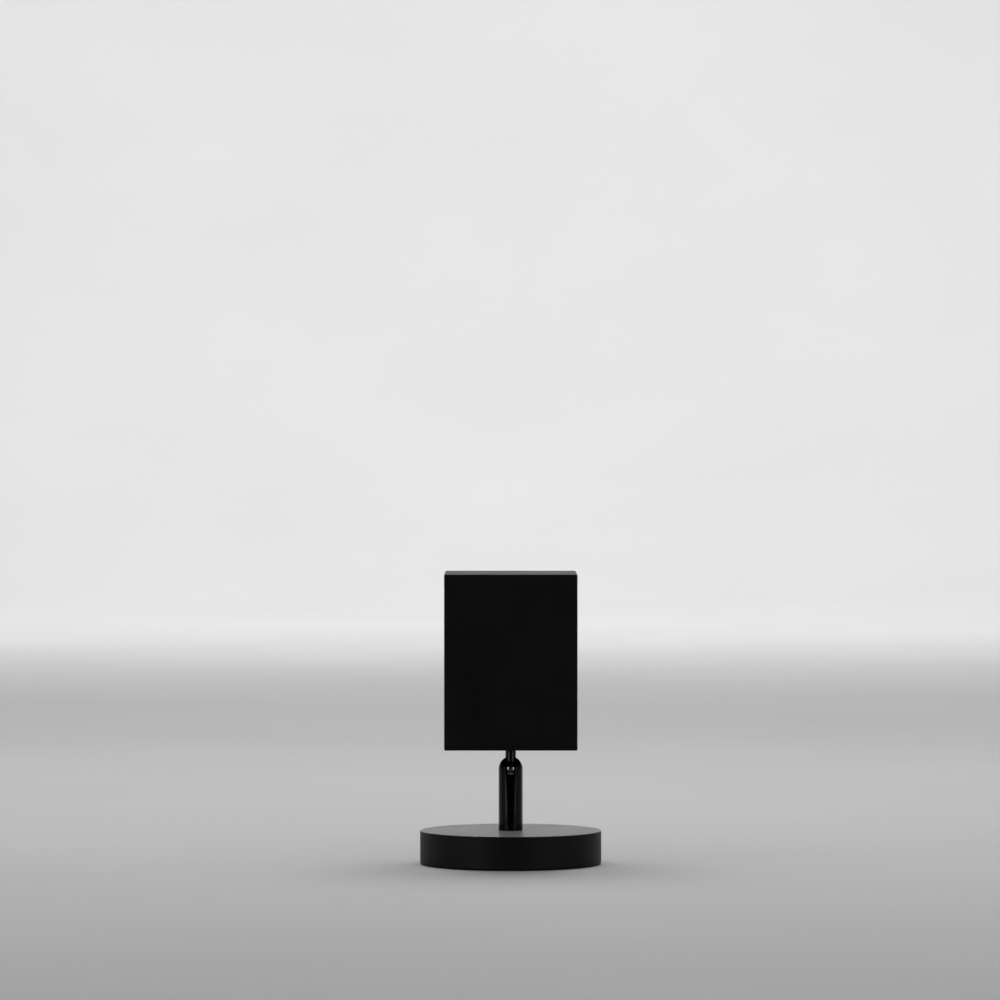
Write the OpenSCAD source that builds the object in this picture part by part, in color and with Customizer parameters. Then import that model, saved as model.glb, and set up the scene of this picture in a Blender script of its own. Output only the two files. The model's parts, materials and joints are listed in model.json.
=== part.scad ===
// Sunset projection lamp: a box-shaped lamp head with one round lens, carried by a ball knuckle
// on a short post that stands on a weighted disc base. Millimetres, +Z up. The lens looks along
// +Y, and the knuckle's slot opens towards -Y. The origin is the centre of the base's underside.

/* [Base] */
// Diameter of the base
base_d = 90; // [84:1:104]
// Height of the base above the table
base_h = 16.7; // [16.2:0.1:19]
// Sheet thickness of the pressed base cover
cover_t = 1.2; // [0.8:0.1:1.6]
// Rounding along the cover's top edge
cover_edge_r = 0.6; // [0.3:0.1:0.7]
// Height of the cover's rim above the table
rim_gap = 0.8; // [0.4:0.1:1.4]
// Thickness of the soft foot pad
pad_t = 2; // [1.6:0.1:2.6]
// Distance of the pad's edge from the inside of the cover
pad_inset = 2.5; // [1.5:0.5:6]
// Thickness of the steel plate that closes the base
plate_t = 1.2; // [0.8:0.1:1.4]
// Height of the space between the steel plate and the ballast
service_h = 2.3; // [2:0.1:2.8]
// Radius at which the three plate screws stand
plate_screw_ring = 30; // [26:1:34]

/* [Power inlet] */
// Width of the inlet's body
jack_w = 9; // [8.6:0.1:10]
// Height of the inlet's body
jack_h = 6.5; // [6.3:0.1:7]
// Length of the inlet's body behind the cover
jack_len = 13; // [11.5:0.5:15]
// Bore that takes the plug's barrel
jack_bore_d = 5.6; // [5.5:0.1:5.7]
// Pin that enters the plug
jack_pin_d = 2.1; // [1.9:0.1:2.5]

/* [Post] */
// Outer diameter of the post
post_d = 12; // [11.8:0.1:13]
// Height of the post from the base's top to the crown of its dome
post_h = 36.7; // [33:0.1:50]
// Wall of the post
post_wall = 1.5; // [1.3:0.1:1.6]
// Wall of the post round its foot thread
foot_wall = 1; // [0.9:0.05:1.2]
// Bore of the threaded pipe
pipe_bore_d = 7; // [6:0.1:7.4]
// Length of the pipe that is screwed into the post
pipe_grip = 9; // [7:0.5:11]

/* [Knuckle] */
// Diameter of the neck between the ball and the head
neck_d = 5.2; // [4.8:0.1:5.6]
// Distance from the ball's centre to the underside of the head
neck_reach = 10.8; // [10:0.1:14]
// Diameter of the threaded stud on top of the neck
stud_d = 4; // [3.8:0.1:4.4]
// Diameter of a lead over its insulation
lead_d = 1.1; // [0.9:0.05:1.2]
// Half the opening angle of the relief under the ball
relief_angle = 35; // [30:1:40]
// Height of the nylon seat under the ball
seat_h = 3.4; // [3:0.1:4]
// Number of disc springs under the seat
spring_count = 4; // [2:1:6]
// Length of the threaded plug under the springs
plug_h = 4; // [3:0.5:6]
// Diameter of the friction washer between the neck and the head
neck_washer_d = 6.6; // [6.2:0.1:8]
// Thickness of the friction washer
neck_washer_t = 0.6; // [0.4:0.1:1]
// Radius at which the swivel stop's lug meets its peg
stop_r = 11; // [10:0.5:12]

/* [Head] */
// Width of the head
head_w = 65.5; // [65:0.5:72]
// Depth of the head, without the lens ring
head_depth = 65.5; // [65:0.5:68]
// Height of the head
head_h = 86.5; // [85:0.5:100]
// Wall of the head's shell
shell_t = 2; // [1.6:0.1:2.4]
// Rounding along the head's edges
head_edge_r = 0.6; // [0.3:0.1:1.2]
// Thickness of the front plate
front_t = 2; // [1.6:0.1:2.4]
// Distance of the front plate behind the shell's front edge
front_inset = 0.5; // [0:0.1:1]
// Side of the square bosses in the shell's corners
corner_boss = 6; // [5.6:0.2:6.4]

/* [Optics] */
// Distance from the lens's edge to the sides of the head
lens_margin = 9.75; // [9:0.25:12]
// Radius of both faces of the lens
lens_face_r = 36; // [34:0.5:42]
// Thickness of the lens at its edge
lens_edge_t = 2.5; // [2:0.1:3]
// Wall of the barrel round the lens
nose_wall = 1.85; // [1.6:0.05:2]
// Wall of the barrel behind the lens
barrel_wall = 2.5; // [2.2:0.1:2.8]
// Width of the barrel's flange behind the front plate
flange_w = 2.2; // [1.8:0.1:2.6]
// Wall of the ring in front of the lens
ring_wall = 2.5; // [2.2:0.1:2.8]
// Length of the ring in front of the plate
ring_len = 8; // [7.6:0.1:9]
// Number of grip flutes round the ring
ring_flutes = 72; // [48:4:84]
// Wall of the holder round the colour filter
holder_wall = 2; // [1.6:0.1:2.4]
// Width of the ledge that the colour filter rests on
filter_ledge = 1; // [0.8:0.1:1.4]
// Thickness of the colour filter
filter_t = 1.2; // [1:0.1:1.3]
// Radius of the condenser's curved face
condenser_face_r = 18; // [17.5:0.5:22]

/* [Light engine] */
// Diameter of the heat sink's core
sink_core_d = 18; // [14:1:24]
// Number of fins round the core
fin_count = 20; // [12:2:24]
// Thickness of a fin
fin_t = 1.4; // [1:0.1:1.6]
// Thickness of the disc in front of the fins
sink_disc_t = 3; // [2.8:0.1:4]
// Length of the fins
fin_len = 15; // [13:0.5:15.5]
// Distance of the driver board from the floor and from the heat sink
board_margin = 2.2; // [1.5:0.1:4]

/* [Hidden] */

$fn = 96;

// Clearances
thread_gap = 0.05;
slide_gap = 0.2;
ball_gap = 0.08;
seat_gap = 0.05;
slot_gap = 0.1;
swivel_gap = 0.06;
cut = 1;

// Base, from the table up
cover_r = base_d / 2;
cover_in_r = cover_r - cover_t;
cover_under_z = base_h - cover_t;
pad_r = cover_in_r - pad_inset;
plate_z = pad_t;
plate_top_z = plate_z + plate_t;
plate_r = cover_in_r - slide_gap;
ballast_r = cover_in_r - slide_gap;
ballast_z = plate_top_z + service_h;
ballast_t = cover_under_z - ballast_z;
plate_boss_d = 8;
plate_screw_d = 3;
plate_screw_head_d = plate_screw_d + 2 * (plate_t - 0.1);
plate_screw_len = 7;
plate_screw_turn = 30;

// Nut, washer and pipe in the recess under the ballast
pipe_d = post_d - 2 * foot_wall;
nut_af = 14;
nut_h = 3;
pipe_washer_d = 20;
pipe_washer_t = 1;
recess_d = 22;
recess_h = 5;
recess_top_z = ballast_z + recess_h;
pipe_washer_z = recess_top_z - pipe_washer_t;
nut_z = pipe_washer_z - nut_h;
pipe_z = nut_z - 0.6;
pipe_top_z = base_h + pipe_grip;
thread_end = 1;

// Power inlet in the rim, at +Y
jack_z = ballast_z + jack_h / 2;
jack_front_y = sqrt(pow(cover_in_r, 2) - pow(jack_w / 2, 2)) - 0.05;
jack_back_y = jack_front_y - jack_len;
jack_nose_wall = 0.8;
jack_nose_d = jack_bore_d + 2 * jack_nose_wall;
jack_hole_d = jack_nose_d + 2 * slide_gap;
jack_pocket_h = (jack_h + jack_nose_d) / 2 + slide_gap;
jack_nose_y = cover_r;
jack_bore_len = 9.5;
jack_pin_len = 8.5;
tab_len = 3;
tab_t = 0.4;
tab_w = 2;
tab_x = 2.4;
channel_w = 6.4;
channel_h = 3.4;
strap_w = 8;
strap_t = 0.8;
strap_y = jack_front_y - 7;
strap_foot = 7.5;
strap_screw_x = jack_w / 2 + 4.5;
strap_len = jack_w + 2 * strap_foot;
strap_screw_d = 2.5;
strap_head_d = 4;
strap_head_h = 1.1;
strap_screw_len = 5;

// Post and knuckle
post_r = post_d / 2;
pivot_z = base_h + post_h - post_r;
bore_r = post_r - post_wall;
ball_r = bore_r - ball_gap;
neck_r = neck_d / 2;
slot_r = neck_r + slot_gap;
lead_x = lead_d / 2 + 0.02;
wire_bore_d = 2 * lead_d + 0.2;
seat_top_z = pivot_z - 2;
seat_z = seat_top_z - seat_h;
seat_hole_d = 4;
spring_t = 0.35;
spring_cone = 0.35;
spring_pitch = spring_t + spring_cone + 0.02;
spring_r = bore_r - 0.2;
spring_hole_r = 2.4;
spring_z = seat_z - spring_count * spring_pitch;
plug_z = spring_z - plug_h;
plug_hex_af = 4;

// Swivel between the neck and the head
head_z = pivot_z + neck_reach;
shoulder_z = head_z - neck_washer_t;
floor_z = head_z + shell_t;
stop_washer_t = 0.8;
stop_washer_d = 10;
stop_lug_w = 2;
stop_peg_d = 1.8;
stop_peg_h = 2;
stud_flat = 0.4;
swivel_spring_t = 0.4;
swivel_spring_cone = 0.3;
swivel_spring_z = floor_z + stop_washer_t + 0.02;
swivel_nut_z = swivel_spring_z + swivel_spring_t + swivel_spring_cone + 0.02;
swivel_nut_af = 7;
swivel_nut_h = 3.2;
stud_top_z = swivel_nut_z + swivel_nut_h + 1;

// Head
head_top_z = head_z + head_h;
half_w = head_w / 2;
half_depth = head_depth / 2;
back_in_y = shell_t - half_depth;
front_y = half_depth - front_inset;
front_back_y = front_y - front_t;
front_w = head_w - 2 * shell_t - 2 * slide_gap;
front_h = head_h - 2 * shell_t - 2 * slide_gap;
head_mid_z = head_z + head_h / 2;
front_screw_d = 2.5;
front_screw_head_d = 4.6;
front_screw_len = 8;
boss_x = half_w - shell_t - corner_boss / 2;
boss_low_z = floor_z + corner_boss / 2;
boss_high_z = head_top_z - shell_t - corner_boss / 2;

// Optics, along the lens axis
lens_z = head_top_z - half_w;
lens_r = half_w - lens_margin;
lens_pocket_r = lens_r + 0.15;
lens_seat_r = lens_r - 1.5;
barrel_r = lens_pocket_r + nose_wall;
barrel_bore_r = barrel_r - barrel_wall;
flange_r = barrel_r + flange_w;
flange_t = 2;
lens_y = front_y - 0.25;
lens_edge_y = lens_y + lens_edge_t;
lens_drop = sqrt(pow(lens_face_r, 2) - pow(lens_r, 2));
lens_seat_drop = sqrt(pow(lens_face_r, 2) - pow(lens_seat_r, 2));
lens_seat_y = lens_y - (lens_seat_drop - lens_drop) - seat_gap;
lens_front_c = lens_edge_y - lens_drop;
lens_back_c = lens_y + lens_drop;
gasket_wire_r = 0.75;
gasket_r = lens_pocket_r - gasket_wire_r - 0.1;
gasket_y = lens_front_c
    + sqrt(pow(lens_face_r + gasket_wire_r + seat_gap, 2) - pow(gasket_r, 2));
lip_y = gasket_y + gasket_wire_r + 0.02;
nose_y = lip_y - 0.2;
ring_front_y = front_y + ring_len;
ring_r = barrel_r + ring_wall;
ring_hole_r = gasket_r - 0.6;
ring_groove = 0.35;
ring_foot = 1.2;
ring_relief = 0.2;
ring_edge = 0.6;
ring_lip = 0.8;
ring_flare = 2.2;

// Light engine, from the shell's back wall forwards
pad_thermal_t = 0.5;
sink_r = barrel_r;
sink_back_y = back_in_y + pad_thermal_t;
disc_back_y = sink_back_y + fin_len;
sink_front_y = disc_back_y + sink_disc_t;
barrel_floor_t = 2.5;
barrel_floor_y = sink_front_y + barrel_floor_t;
board_t = 1.6;
star_r = 10;
emitter_w = 7;
emitter_t = 0.7;
emitter_dome_r = 2.4;
emitter_y = sink_front_y + board_t;
holder_flange_t = 2;
holder_pass = 1;
sink_screw_d = 3;
sink_head_d = 5;
sink_head_h = 1.8;
sink_head_gap = 0.3;
holder_flange_r = lens_seat_r - holder_pass;
sink_screw_ring = holder_flange_r - slide_gap - sink_head_d / 2;
holder_r = sink_screw_ring - sink_head_d / 2 - sink_head_gap;
filter_r = holder_r - holder_wall;
condenser_r = filter_r - filter_ledge;
condenser_pocket_r = condenser_r + 0.1;
condenser_y = emitter_y + emitter_t + emitter_dome_r * 0.6;
condenser_edge_t = 1.2;
condenser_drop = sqrt(pow(condenser_face_r, 2) - pow(condenser_r, 2));
holder_lip_r = condenser_r - 0.9;
holder_lip_drop = sqrt(pow(condenser_face_r, 2) - pow(holder_lip_r, 2));
condenser_c = condenser_y + condenser_edge_t - condenser_drop;
holder_lip_y = condenser_c + holder_lip_drop + seat_gap;
condenser_tip_y = condenser_c + condenser_face_r;
filter_y = condenser_tip_y + 0.3;
filter_ring_t = 0.8;
holder_end_y = filter_y + filter_t + filter_ring_t + 0.4;
sink_screw_len = holder_flange_t + barrel_floor_t + sink_disc_t - 0.6;
center_hole_r = star_r + 1.6;
groove_w = 3.4;
groove_h = board_t;

// Driver board on four bosses of the back wall
board_boss_h = 6;
board_boss_d = 5;
board_y = back_in_y + board_boss_h;
board_front_y = board_y + board_t;
board_w = front_w - 2 * corner_boss - 1.1;
board_z = floor_z + board_margin;
board_h = lens_z - sink_r - board_margin - board_z;
board_mid_z = board_z + board_h / 2;
board_edge = 3.5;
board_hole_x = board_w / 2 - board_edge;
board_hole_z = board_edge;
board_screw_d = 2.5;
board_head_d = 4.5;
board_head_h = 1.6;
plug_box = [7, 5, 5.5];
plug_box_wall = 1;
plug_box_x = 13;
choke_x = -4.5;
choke_d = 7;
choke_core_d = 5;
choke_rim_t = 1;
choke_h = 5;
capacitor_x = 4.5;
capacitor_d = 6.3;
capacitor_h = 7;
chip = [5, 1.6, 3.2];
chip_drop = 6.2;
resistor = [1.6, 0.6, 0.9];
resistor_pitch = 3;
resistor_rise = 5;

// Leads
lead_pitch = lead_d / 2 + 0.25;
lead_sides = 8;
lead_steps = 3;

// Colours
powder_black = [0.03, 0.03, 0.035];
satin_black = [0.06, 0.06, 0.065];
dark_nickel = [0.2, 0.19, 0.21];
bright_steel = [0.75, 0.75, 0.78];
iron_grey = [0.3, 0.3, 0.31];
nylon_white = [0.88, 0.87, 0.83];
rubber_black = [0.05, 0.05, 0.05];
brass_yellow = [0.8, 0.62, 0.3];
board_green = [0.06, 0.3, 0.14];
lead_red = [0.65, 0.08, 0.08];

// ---- Shared shapes ----

// Outline of a rectangle whose corners are arcs
function rounded_outline(w, h, r) = [
    for (corner = [[1, 1, 0], [-1, 1, 90], [-1, -1, 180], [1, -1, 270]])
        for (step = [0:4])
            let (a = corner[2] + 90 * step / 4)
                [corner[0] * (w / 2 - r) + r * cos(a), corner[1] * (h / 2 - r) + r * sin(a)]
];

// A box whose twelve edges are rounded, standing on z = 0
module rounded_block(w, d, h, r) {
    intersection() {
        linear_extrude(h)
            polygon(rounded_outline(w, d, r));
        translate([0, d / 2, h / 2])
            rotate([90, 0, 0])
                linear_extrude(d)
                    polygon(rounded_outline(w, h, r));
        translate([-w / 2, 0, h / 2])
            rotate([90, 0, 90])
                linear_extrude(w)
                    polygon(rounded_outline(d, h, r));
    }
}

// Places a shape drawn along +Z on the lens axis, starting at the given y
module on_axis(y) {
    translate([0, y, lens_z])
        rotate([-90, 0, 0])
            children();
}

// Places a shape drawn along +Z so that it runs towards +Y from a point
module towards_front(p) {
    translate(p)
        rotate([-90, 0, 0])
            children();
}

module ring(outer_r, inner_r, h) {
    difference() {
        cylinder(r = outer_r, h = h);
        translate([0, 0, -cut])
            cylinder(r = inner_r, h = h + 2 * cut);
    }
}

// A hexagon measured across its flats
module hexagon(af, h) {
    cylinder(d = af / cos(30), h = h, $fn = 6);
}

// Pan-head screw: the head stands on z = 0 and the shank runs down
module pan_screw(d, len, head_d, head_h) {
    difference() {
        union() {
            cylinder(d = head_d, h = head_h);
            translate([0, 0, -len])
                cylinder(d = d - 2 * thread_gap, h = len + 0.1);
        }
        translate([0, 0, head_h * 0.45])
            hexagon(head_d * 0.45, head_h);
    }
}

// Countersunk screw: the head's face is at z = 0 and the shank runs down
module flat_screw(d, len, head_d) {
    head_h = (head_d - d) / 2;
    difference() {
        union() {
            translate([0, 0, -head_h])
                cylinder(d1 = d - 2 * thread_gap, d2 = head_d, h = head_h);
            translate([0, 0, -len])
                cylinder(d = d - 2 * thread_gap, h = len - head_h + 0.01);
        }
        translate([0, 0, -head_h * 0.8])
            hexagon(head_d * 0.42, head_h);
    }
}

// The hole for a countersunk screw, wider than the screw by the sliding gap
module flat_screw_hole(d, head_d, depth) {
    head_h = (head_d - d) / 2;
    translate([0, 0, -depth])
        cylinder(d = d + slide_gap, h = depth);
    translate([0, 0, -head_h])
        cylinder(d1 = d + slide_gap, d2 = head_d + slide_gap, h = head_h);
    cylinder(d = head_d + slide_gap, h = cut);
}

// One conical disc spring; "up" puts its inner edge on top
module disc_spring(outer_r, inner_r, t, cone, up) {
    inner_low = up ? cone : 0;
    outer_low = up ? 0 : cone;
    rotate_extrude()
        polygon([
            [inner_r, inner_low], [outer_r, outer_low],
            [outer_r, outer_low + t], [inner_r, inner_low + t]
        ]);
}

// A smooth curve through a list of points
function curve_point(p, i, t) =
    let (
        a = p[max(i - 1, 0)],
        b = p[i],
        c = p[i + 1],
        d = p[min(i + 2, len(p) - 1)]
    )
    (2 * b + (c - a) * t + (2 * a - 5 * b + 4 * c - d) * t * t
        + (3 * b - a - 3 * c + d) * t * t * t) / 2;
function curve(p) = [
    for (i = [0:len(p) - 2])
        for (k = [0:lead_steps - 1])
            curve_point(p, i, k / lead_steps),
    p[len(p) - 1]
];
function unit(v) = v / norm(v);

// One insulated lead along a list of points; "side" is a direction it never runs along
module lead(points, side) {
    line = curve(points);
    last = len(line) - 1;
    n = lead_sides;
    corners = [
        for (i = [0:last])
            let (
                along = unit(line[min(i + 1, last)] - line[max(i - 1, 0)]),
                u = unit(cross(along, side)),
                v = cross(along, u)
            )
            for (k = [0:n - 1])
                line[i] + lead_d / 2 * (cos(360 * k / n) * u + sin(360 * k / n) * v)
    ];
    sides = [
        for (i = [0:last - 1])
            for (k = [0:n - 1])
                for (half = [0, 1])
                    let (
                        a = i * n + k,
                        b = i * n + (k + 1) % n
                    )
                    half == 0 ? [a, a + n, b] : [b, a + n, b + n]
    ];
    start = [for (k = [0:n - 1]) k];
    end = [for (k = [n - 1:-1:0]) last * n + k];
    polyhedron(corners, concat(sides, [start, end]));
}

// ---- Base ----

// Pressed steel cover: a flat top, an upright skirt and the inlet's hole in the skirt
module base_cover() {
    color(satin_black)
        difference() {
            rotate_extrude()
                polygon(concat(
                    [[0, cover_under_z], [cover_in_r, cover_under_z], [cover_in_r, rim_gap],
                        [cover_r, rim_gap]],
                    [for (step = [0:5])
                        let (a = 18 * step)
                            [cover_r - cover_edge_r + cover_edge_r * cos(a),
                                base_h - cover_edge_r + cover_edge_r * sin(a)]],
                    [[0, base_h]]
                ));
            translate([0, 0, cover_under_z - cut])
                cylinder(d = pipe_d + slide_gap, h = cover_t + 2 * cut);
            towards_front([0, cover_in_r - 2, jack_z])
                cylinder(d = jack_hole_d, h = cover_t + 4);
        }
}

module at_plate_screws() {
    for (k = [0:2])
        rotate(plate_screw_turn + 120 * k)
            translate([plate_screw_ring, 0, 0])
                children();
}

// Cast iron disc that gives the base its weight, with the nut's recess, a pocket for the inlet,
// a channel for the leads and three bosses for the bottom plate
module ballast_disc() {
    color(iron_grey)
        difference() {
            union() {
                translate([0, 0, ballast_z])
                    cylinder(r = ballast_r, h = ballast_t);
                at_plate_screws()
                    translate([0, 0, plate_top_z])
                        cylinder(d = plate_boss_d, h = ballast_z - plate_top_z + cut);
            }
            translate([0, 0, ballast_z - cut])
                cylinder(d = recess_d, h = recess_h + cut);
            translate([0, 0, ballast_z])
                cylinder(d = pipe_d + slide_gap, h = ballast_t + cut);
            translate([-jack_w / 2 - slide_gap, jack_back_y - tab_len - 1, ballast_z - cut])
                cube([jack_w + 2 * slide_gap, cover_r, jack_pocket_h + cut]);
            translate([-channel_w / 2, 0, ballast_z - cut])
                cube([channel_w, jack_back_y, channel_h + cut]);
            at_plate_screws()
                translate([0, 0, plate_top_z - cut])
                    cylinder(d = plate_screw_d, h = plate_screw_len + cut);
            for (side = [-1, 1])
                translate([side * strap_screw_x, strap_y, ballast_z - cut])
                    cylinder(d = strap_screw_d, h = strap_screw_len + cut);
        }
}

// Steel plate that closes the base from below
module bottom_plate() {
    color(iron_grey)
        difference() {
            translate([0, 0, plate_z])
                cylinder(r = plate_r, h = plate_t);
            at_plate_screws()
                translate([0, 0, plate_z])
                    mirror([0, 0, 1])
                        flat_screw_hole(plate_screw_d, plate_screw_head_d, plate_t + cut);
        }
}

module plate_screws() {
    color(bright_steel)
        at_plate_screws()
            translate([0, 0, plate_z])
                mirror([0, 0, 1])
                    flat_screw(plate_screw_d, plate_screw_len, plate_screw_head_d);
}

// Soft pad that the lamp rests on
module foot_pad() {
    color(rubber_black)
        cylinder(r = pad_r, h = pad_t);
}

// ---- Power inlet ----

// Moulded barrel inlet: a block in the ballast's pocket, with a round nose in the cover's hole
module power_jack() {
    color(satin_black)
        difference() {
            union() {
                translate([-jack_w / 2, jack_back_y, jack_z - jack_h / 2])
                    cube([jack_w, jack_len, jack_h]);
                towards_front([0, jack_front_y, jack_z])
                    cylinder(d = jack_nose_d, h = jack_nose_y - jack_front_y);
            }
            towards_front([0, jack_nose_y - jack_bore_len, jack_z])
                cylinder(d = jack_bore_d, h = jack_bore_len + cut);
            towards_front([0, jack_back_y - cut, jack_z])
                cylinder(d = jack_pin_d, h = jack_len);
            for (side = [-1, 1])
                translate([side * tab_x - tab_w / 2, jack_back_y - cut, jack_z - tab_t / 2])
                    cube([tab_w, 2 + cut, tab_t]);
        }
}

// Centre pin and the two solder tabs of the inlet
module jack_contacts() {
    color(bright_steel) {
        towards_front([0, jack_back_y, jack_z])
            cylinder(d = jack_pin_d, h = jack_len + 0.3 - (jack_bore_len - jack_pin_len));
        for (side = [-1, 1])
            translate([side * tab_x - tab_w / 2, jack_back_y - tab_len, jack_z - tab_t / 2])
                cube([tab_w, tab_len + 2, tab_t]);
    }
}

// Flat strap that holds the inlet up in its pocket
module jack_strap() {
    color(bright_steel)
        difference() {
            translate([-strap_len / 2, strap_y - strap_w / 2, ballast_z - strap_t])
                cube([strap_len, strap_w, strap_t]);
            for (side = [-1, 1])
                translate([side * strap_screw_x, strap_y, ballast_z - strap_t - cut])
                    cylinder(d = strap_screw_d + slide_gap, h = strap_t + 2 * cut);
        }
}

module strap_screws() {
    color(bright_steel)
        for (side = [-1, 1])
            translate([side * strap_screw_x, strap_y, ballast_z - strap_t])
                mirror([0, 0, 1])
                    pan_screw(strap_screw_d, strap_screw_len, strap_head_d, strap_head_h);
}

// The two leads from the inlet's tabs through the channel and up inside the post
module base_leads() {
    channel_z = ballast_z + channel_h / 2;
    low_z = (plate_top_z + pipe_z) / 2;
    for (side = [-1, 1])
        color(side > 0 ? lead_red : rubber_black)
            lead([
                [side * tab_x, jack_back_y - 1, jack_z - 0.8],
                [side * tab_x, jack_back_y - 3, jack_z - 0.9],
                [side * 1.8, jack_back_y - 8, channel_z],
                [side * lead_pitch, 12, low_z + 0.8],
                [side * lead_pitch, 5.5, low_z],
                [side * lead_pitch, 2, low_z + 0.3],
                [side * lead_pitch, 0.3, low_z + 2.6],
                [side * lead_x, 0, low_z + 8],
                [side * lead_x, 0, pipe_top_z],
                [side * lead_x, 0, plug_z + 2],
                [side * lead_x, 0, seat_z + 0.5]
            ], [1, 0, 0]);
}

// ---- Post ----

// Hollow threaded pipe that clamps cover, ballast and post together
module post_nipple() {
    color(brass_yellow)
        translate([0, 0, pipe_z])
            ring(pipe_d / 2 - thread_gap, pipe_bore_d / 2, pipe_top_z - pipe_z);
}

module nipple_washer() {
    color(bright_steel)
        translate([0, 0, pipe_washer_z])
            ring(pipe_washer_d / 2, (pipe_d + slide_gap) / 2, pipe_washer_t);
}

module nipple_nut() {
    color(brass_yellow)
        translate([0, 0, nut_z])
            difference() {
                hexagon(nut_af, nut_h);
                translate([0, 0, -cut])
                    cylinder(d = pipe_d, h = nut_h + 2 * cut);
            }
}

// Turned post: a tube that closes in a dome, slotted on one side so that the neck can lie over
module post_tube() {
    color(dark_nickel)
        difference() {
            union() {
                translate([0, 0, base_h])
                    cylinder(r = post_r, h = pivot_z - base_h);
                translate([0, 0, pivot_z])
                    sphere(r = post_r);
            }
            translate([0, 0, base_h - cut])
                cylinder(r = bore_r, h = pivot_z - base_h + cut);
            translate([0, 0, pivot_z])
                sphere(r = bore_r);
            translate([0, 0, base_h - cut])
                cylinder(d = pipe_d, h = pipe_grip + thread_end + cut);
            knuckle_slot();
        }
}

// The neck's whole sweep, from upright to level, cut out of the dome
module knuckle_slot() {
    translate([0, 0, pivot_z])
        cylinder(r = slot_r, h = post_r + cut);
    translate([0, 0, pivot_z])
        rotate([90, 0, 0])
            cylinder(r = slot_r, h = post_r + cut);
    translate([-slot_r, -post_r - cut, pivot_z])
        cube([2 * slot_r, post_r + cut, post_r + cut]);
}

// Hollow grub screw that presses the springs and the seat up against the ball
module seat_plug() {
    color(brass_yellow)
        translate([0, 0, plug_z])
            difference() {
                cylinder(r = bore_r - thread_gap, h = plug_h);
                translate([0, 0, -cut])
                    hexagon(plug_hex_af, plug_h + 2 * cut);
            }
}

module disc_springs() {
    color(bright_steel)
        for (k = [0:spring_count - 1])
            translate([0, 0, spring_z + 0.01 + k * spring_pitch])
                disc_spring(spring_r, spring_hole_r, spring_t, spring_cone, k % 2 == 0);
}

// Nylon cup that the ball turns in
module ball_seat() {
    color(nylon_white)
        difference() {
            translate([0, 0, seat_z])
                cylinder(r = bore_r - seat_gap, h = seat_h);
            translate([0, 0, pivot_z])
                sphere(r = ball_r + seat_gap);
            translate([0, 0, seat_z - cut])
                cylinder(d = seat_hole_d, h = seat_h + cut);
        }
}

// ---- Knuckle ----

// Turned ball with its neck and threaded stud, bored for the leads
module ball_stud() {
    relief_r = ball_r * tan(relief_angle);
    color(bright_steel)
        difference() {
            union() {
                translate([0, 0, pivot_z])
                    sphere(r = ball_r);
                translate([0, 0, pivot_z])
                    cylinder(r = neck_r, h = shoulder_z - pivot_z);
                translate([0, 0, pivot_z])
                    cylinder(d = stud_d, h = stud_top_z - pivot_z);
            }
            translate([0, 0, pivot_z - ball_r])
                cylinder(d = wire_bore_d, h = stud_top_z - pivot_z + ball_r + cut);
            translate([0, 0, pivot_z - ball_r - 0.01])
                cylinder(r1 = relief_r, r2 = wire_bore_d / 2 - 0.1, h = ball_r);
            translate([stud_d / 2 - stud_flat, -stud_d, floor_z + 0.1])
                cube([stud_d, 2 * stud_d, stud_top_z - floor_z]);
        }
}

module neck_washer() {
    color(rubber_black)
        translate([0, 0, shoulder_z])
            ring(neck_washer_d / 2, stud_d / 2 + seat_gap, neck_washer_t);
}

// Keyed washer whose lug meets the shell's peg and ends the swivel
module stop_washer() {
    color(bright_steel)
        translate([0, 0, floor_z])
            difference() {
                union() {
                    cylinder(d = stop_washer_d, h = stop_washer_t);
                    translate([-stop_lug_w / 2, 0, 0])
                        cube([stop_lug_w, stop_r + stop_peg_d / 2, stop_washer_t]);
                }
                difference() {
                    translate([0, 0, -cut])
                        cylinder(r = stud_d / 2 + seat_gap, h = stop_washer_t + 2 * cut);
                    translate([stud_d / 2 - stud_flat + seat_gap, -stud_d, 0.15])
                        cube([stud_d, 2 * stud_d, stop_washer_t]);
                }
            }
}

module swivel_spring() {
    color(bright_steel)
        translate([0, 0, swivel_spring_z])
            disc_spring(stop_washer_d / 2 - 1, stud_d / 2 + 0.2, swivel_spring_t,
                swivel_spring_cone, true);
}

module swivel_nut() {
    color(bright_steel)
        translate([0, 0, swivel_nut_z])
            difference() {
                hexagon(swivel_nut_af, swivel_nut_h);
                translate([0, 0, -cut])
                    cylinder(r = stud_d / 2 + thread_gap, h = swivel_nut_h + 2 * cut);
            }
}

// The leads' stretch inside the stud
module stud_leads() {
    for (side = [-1, 1])
        color(side > 0 ? lead_red : rubber_black)
            translate([side * lead_x, 0, pivot_z + 1])
                cylinder(d = lead_d, h = stud_top_z - pivot_z - 1);
}

// ---- Head ----

module at_corner_bosses() {
    for (x = [-boss_x, boss_x])
        for (z = [boss_low_z, boss_high_z])
            translate([x, 0, z])
                children();
}

module at_board_holes() {
    for (x = [-board_hole_x, board_hole_x])
        for (z = [board_z + board_hole_z, board_z + board_h - board_hole_z])
            translate([x, 0, z])
                children();
}

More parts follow.
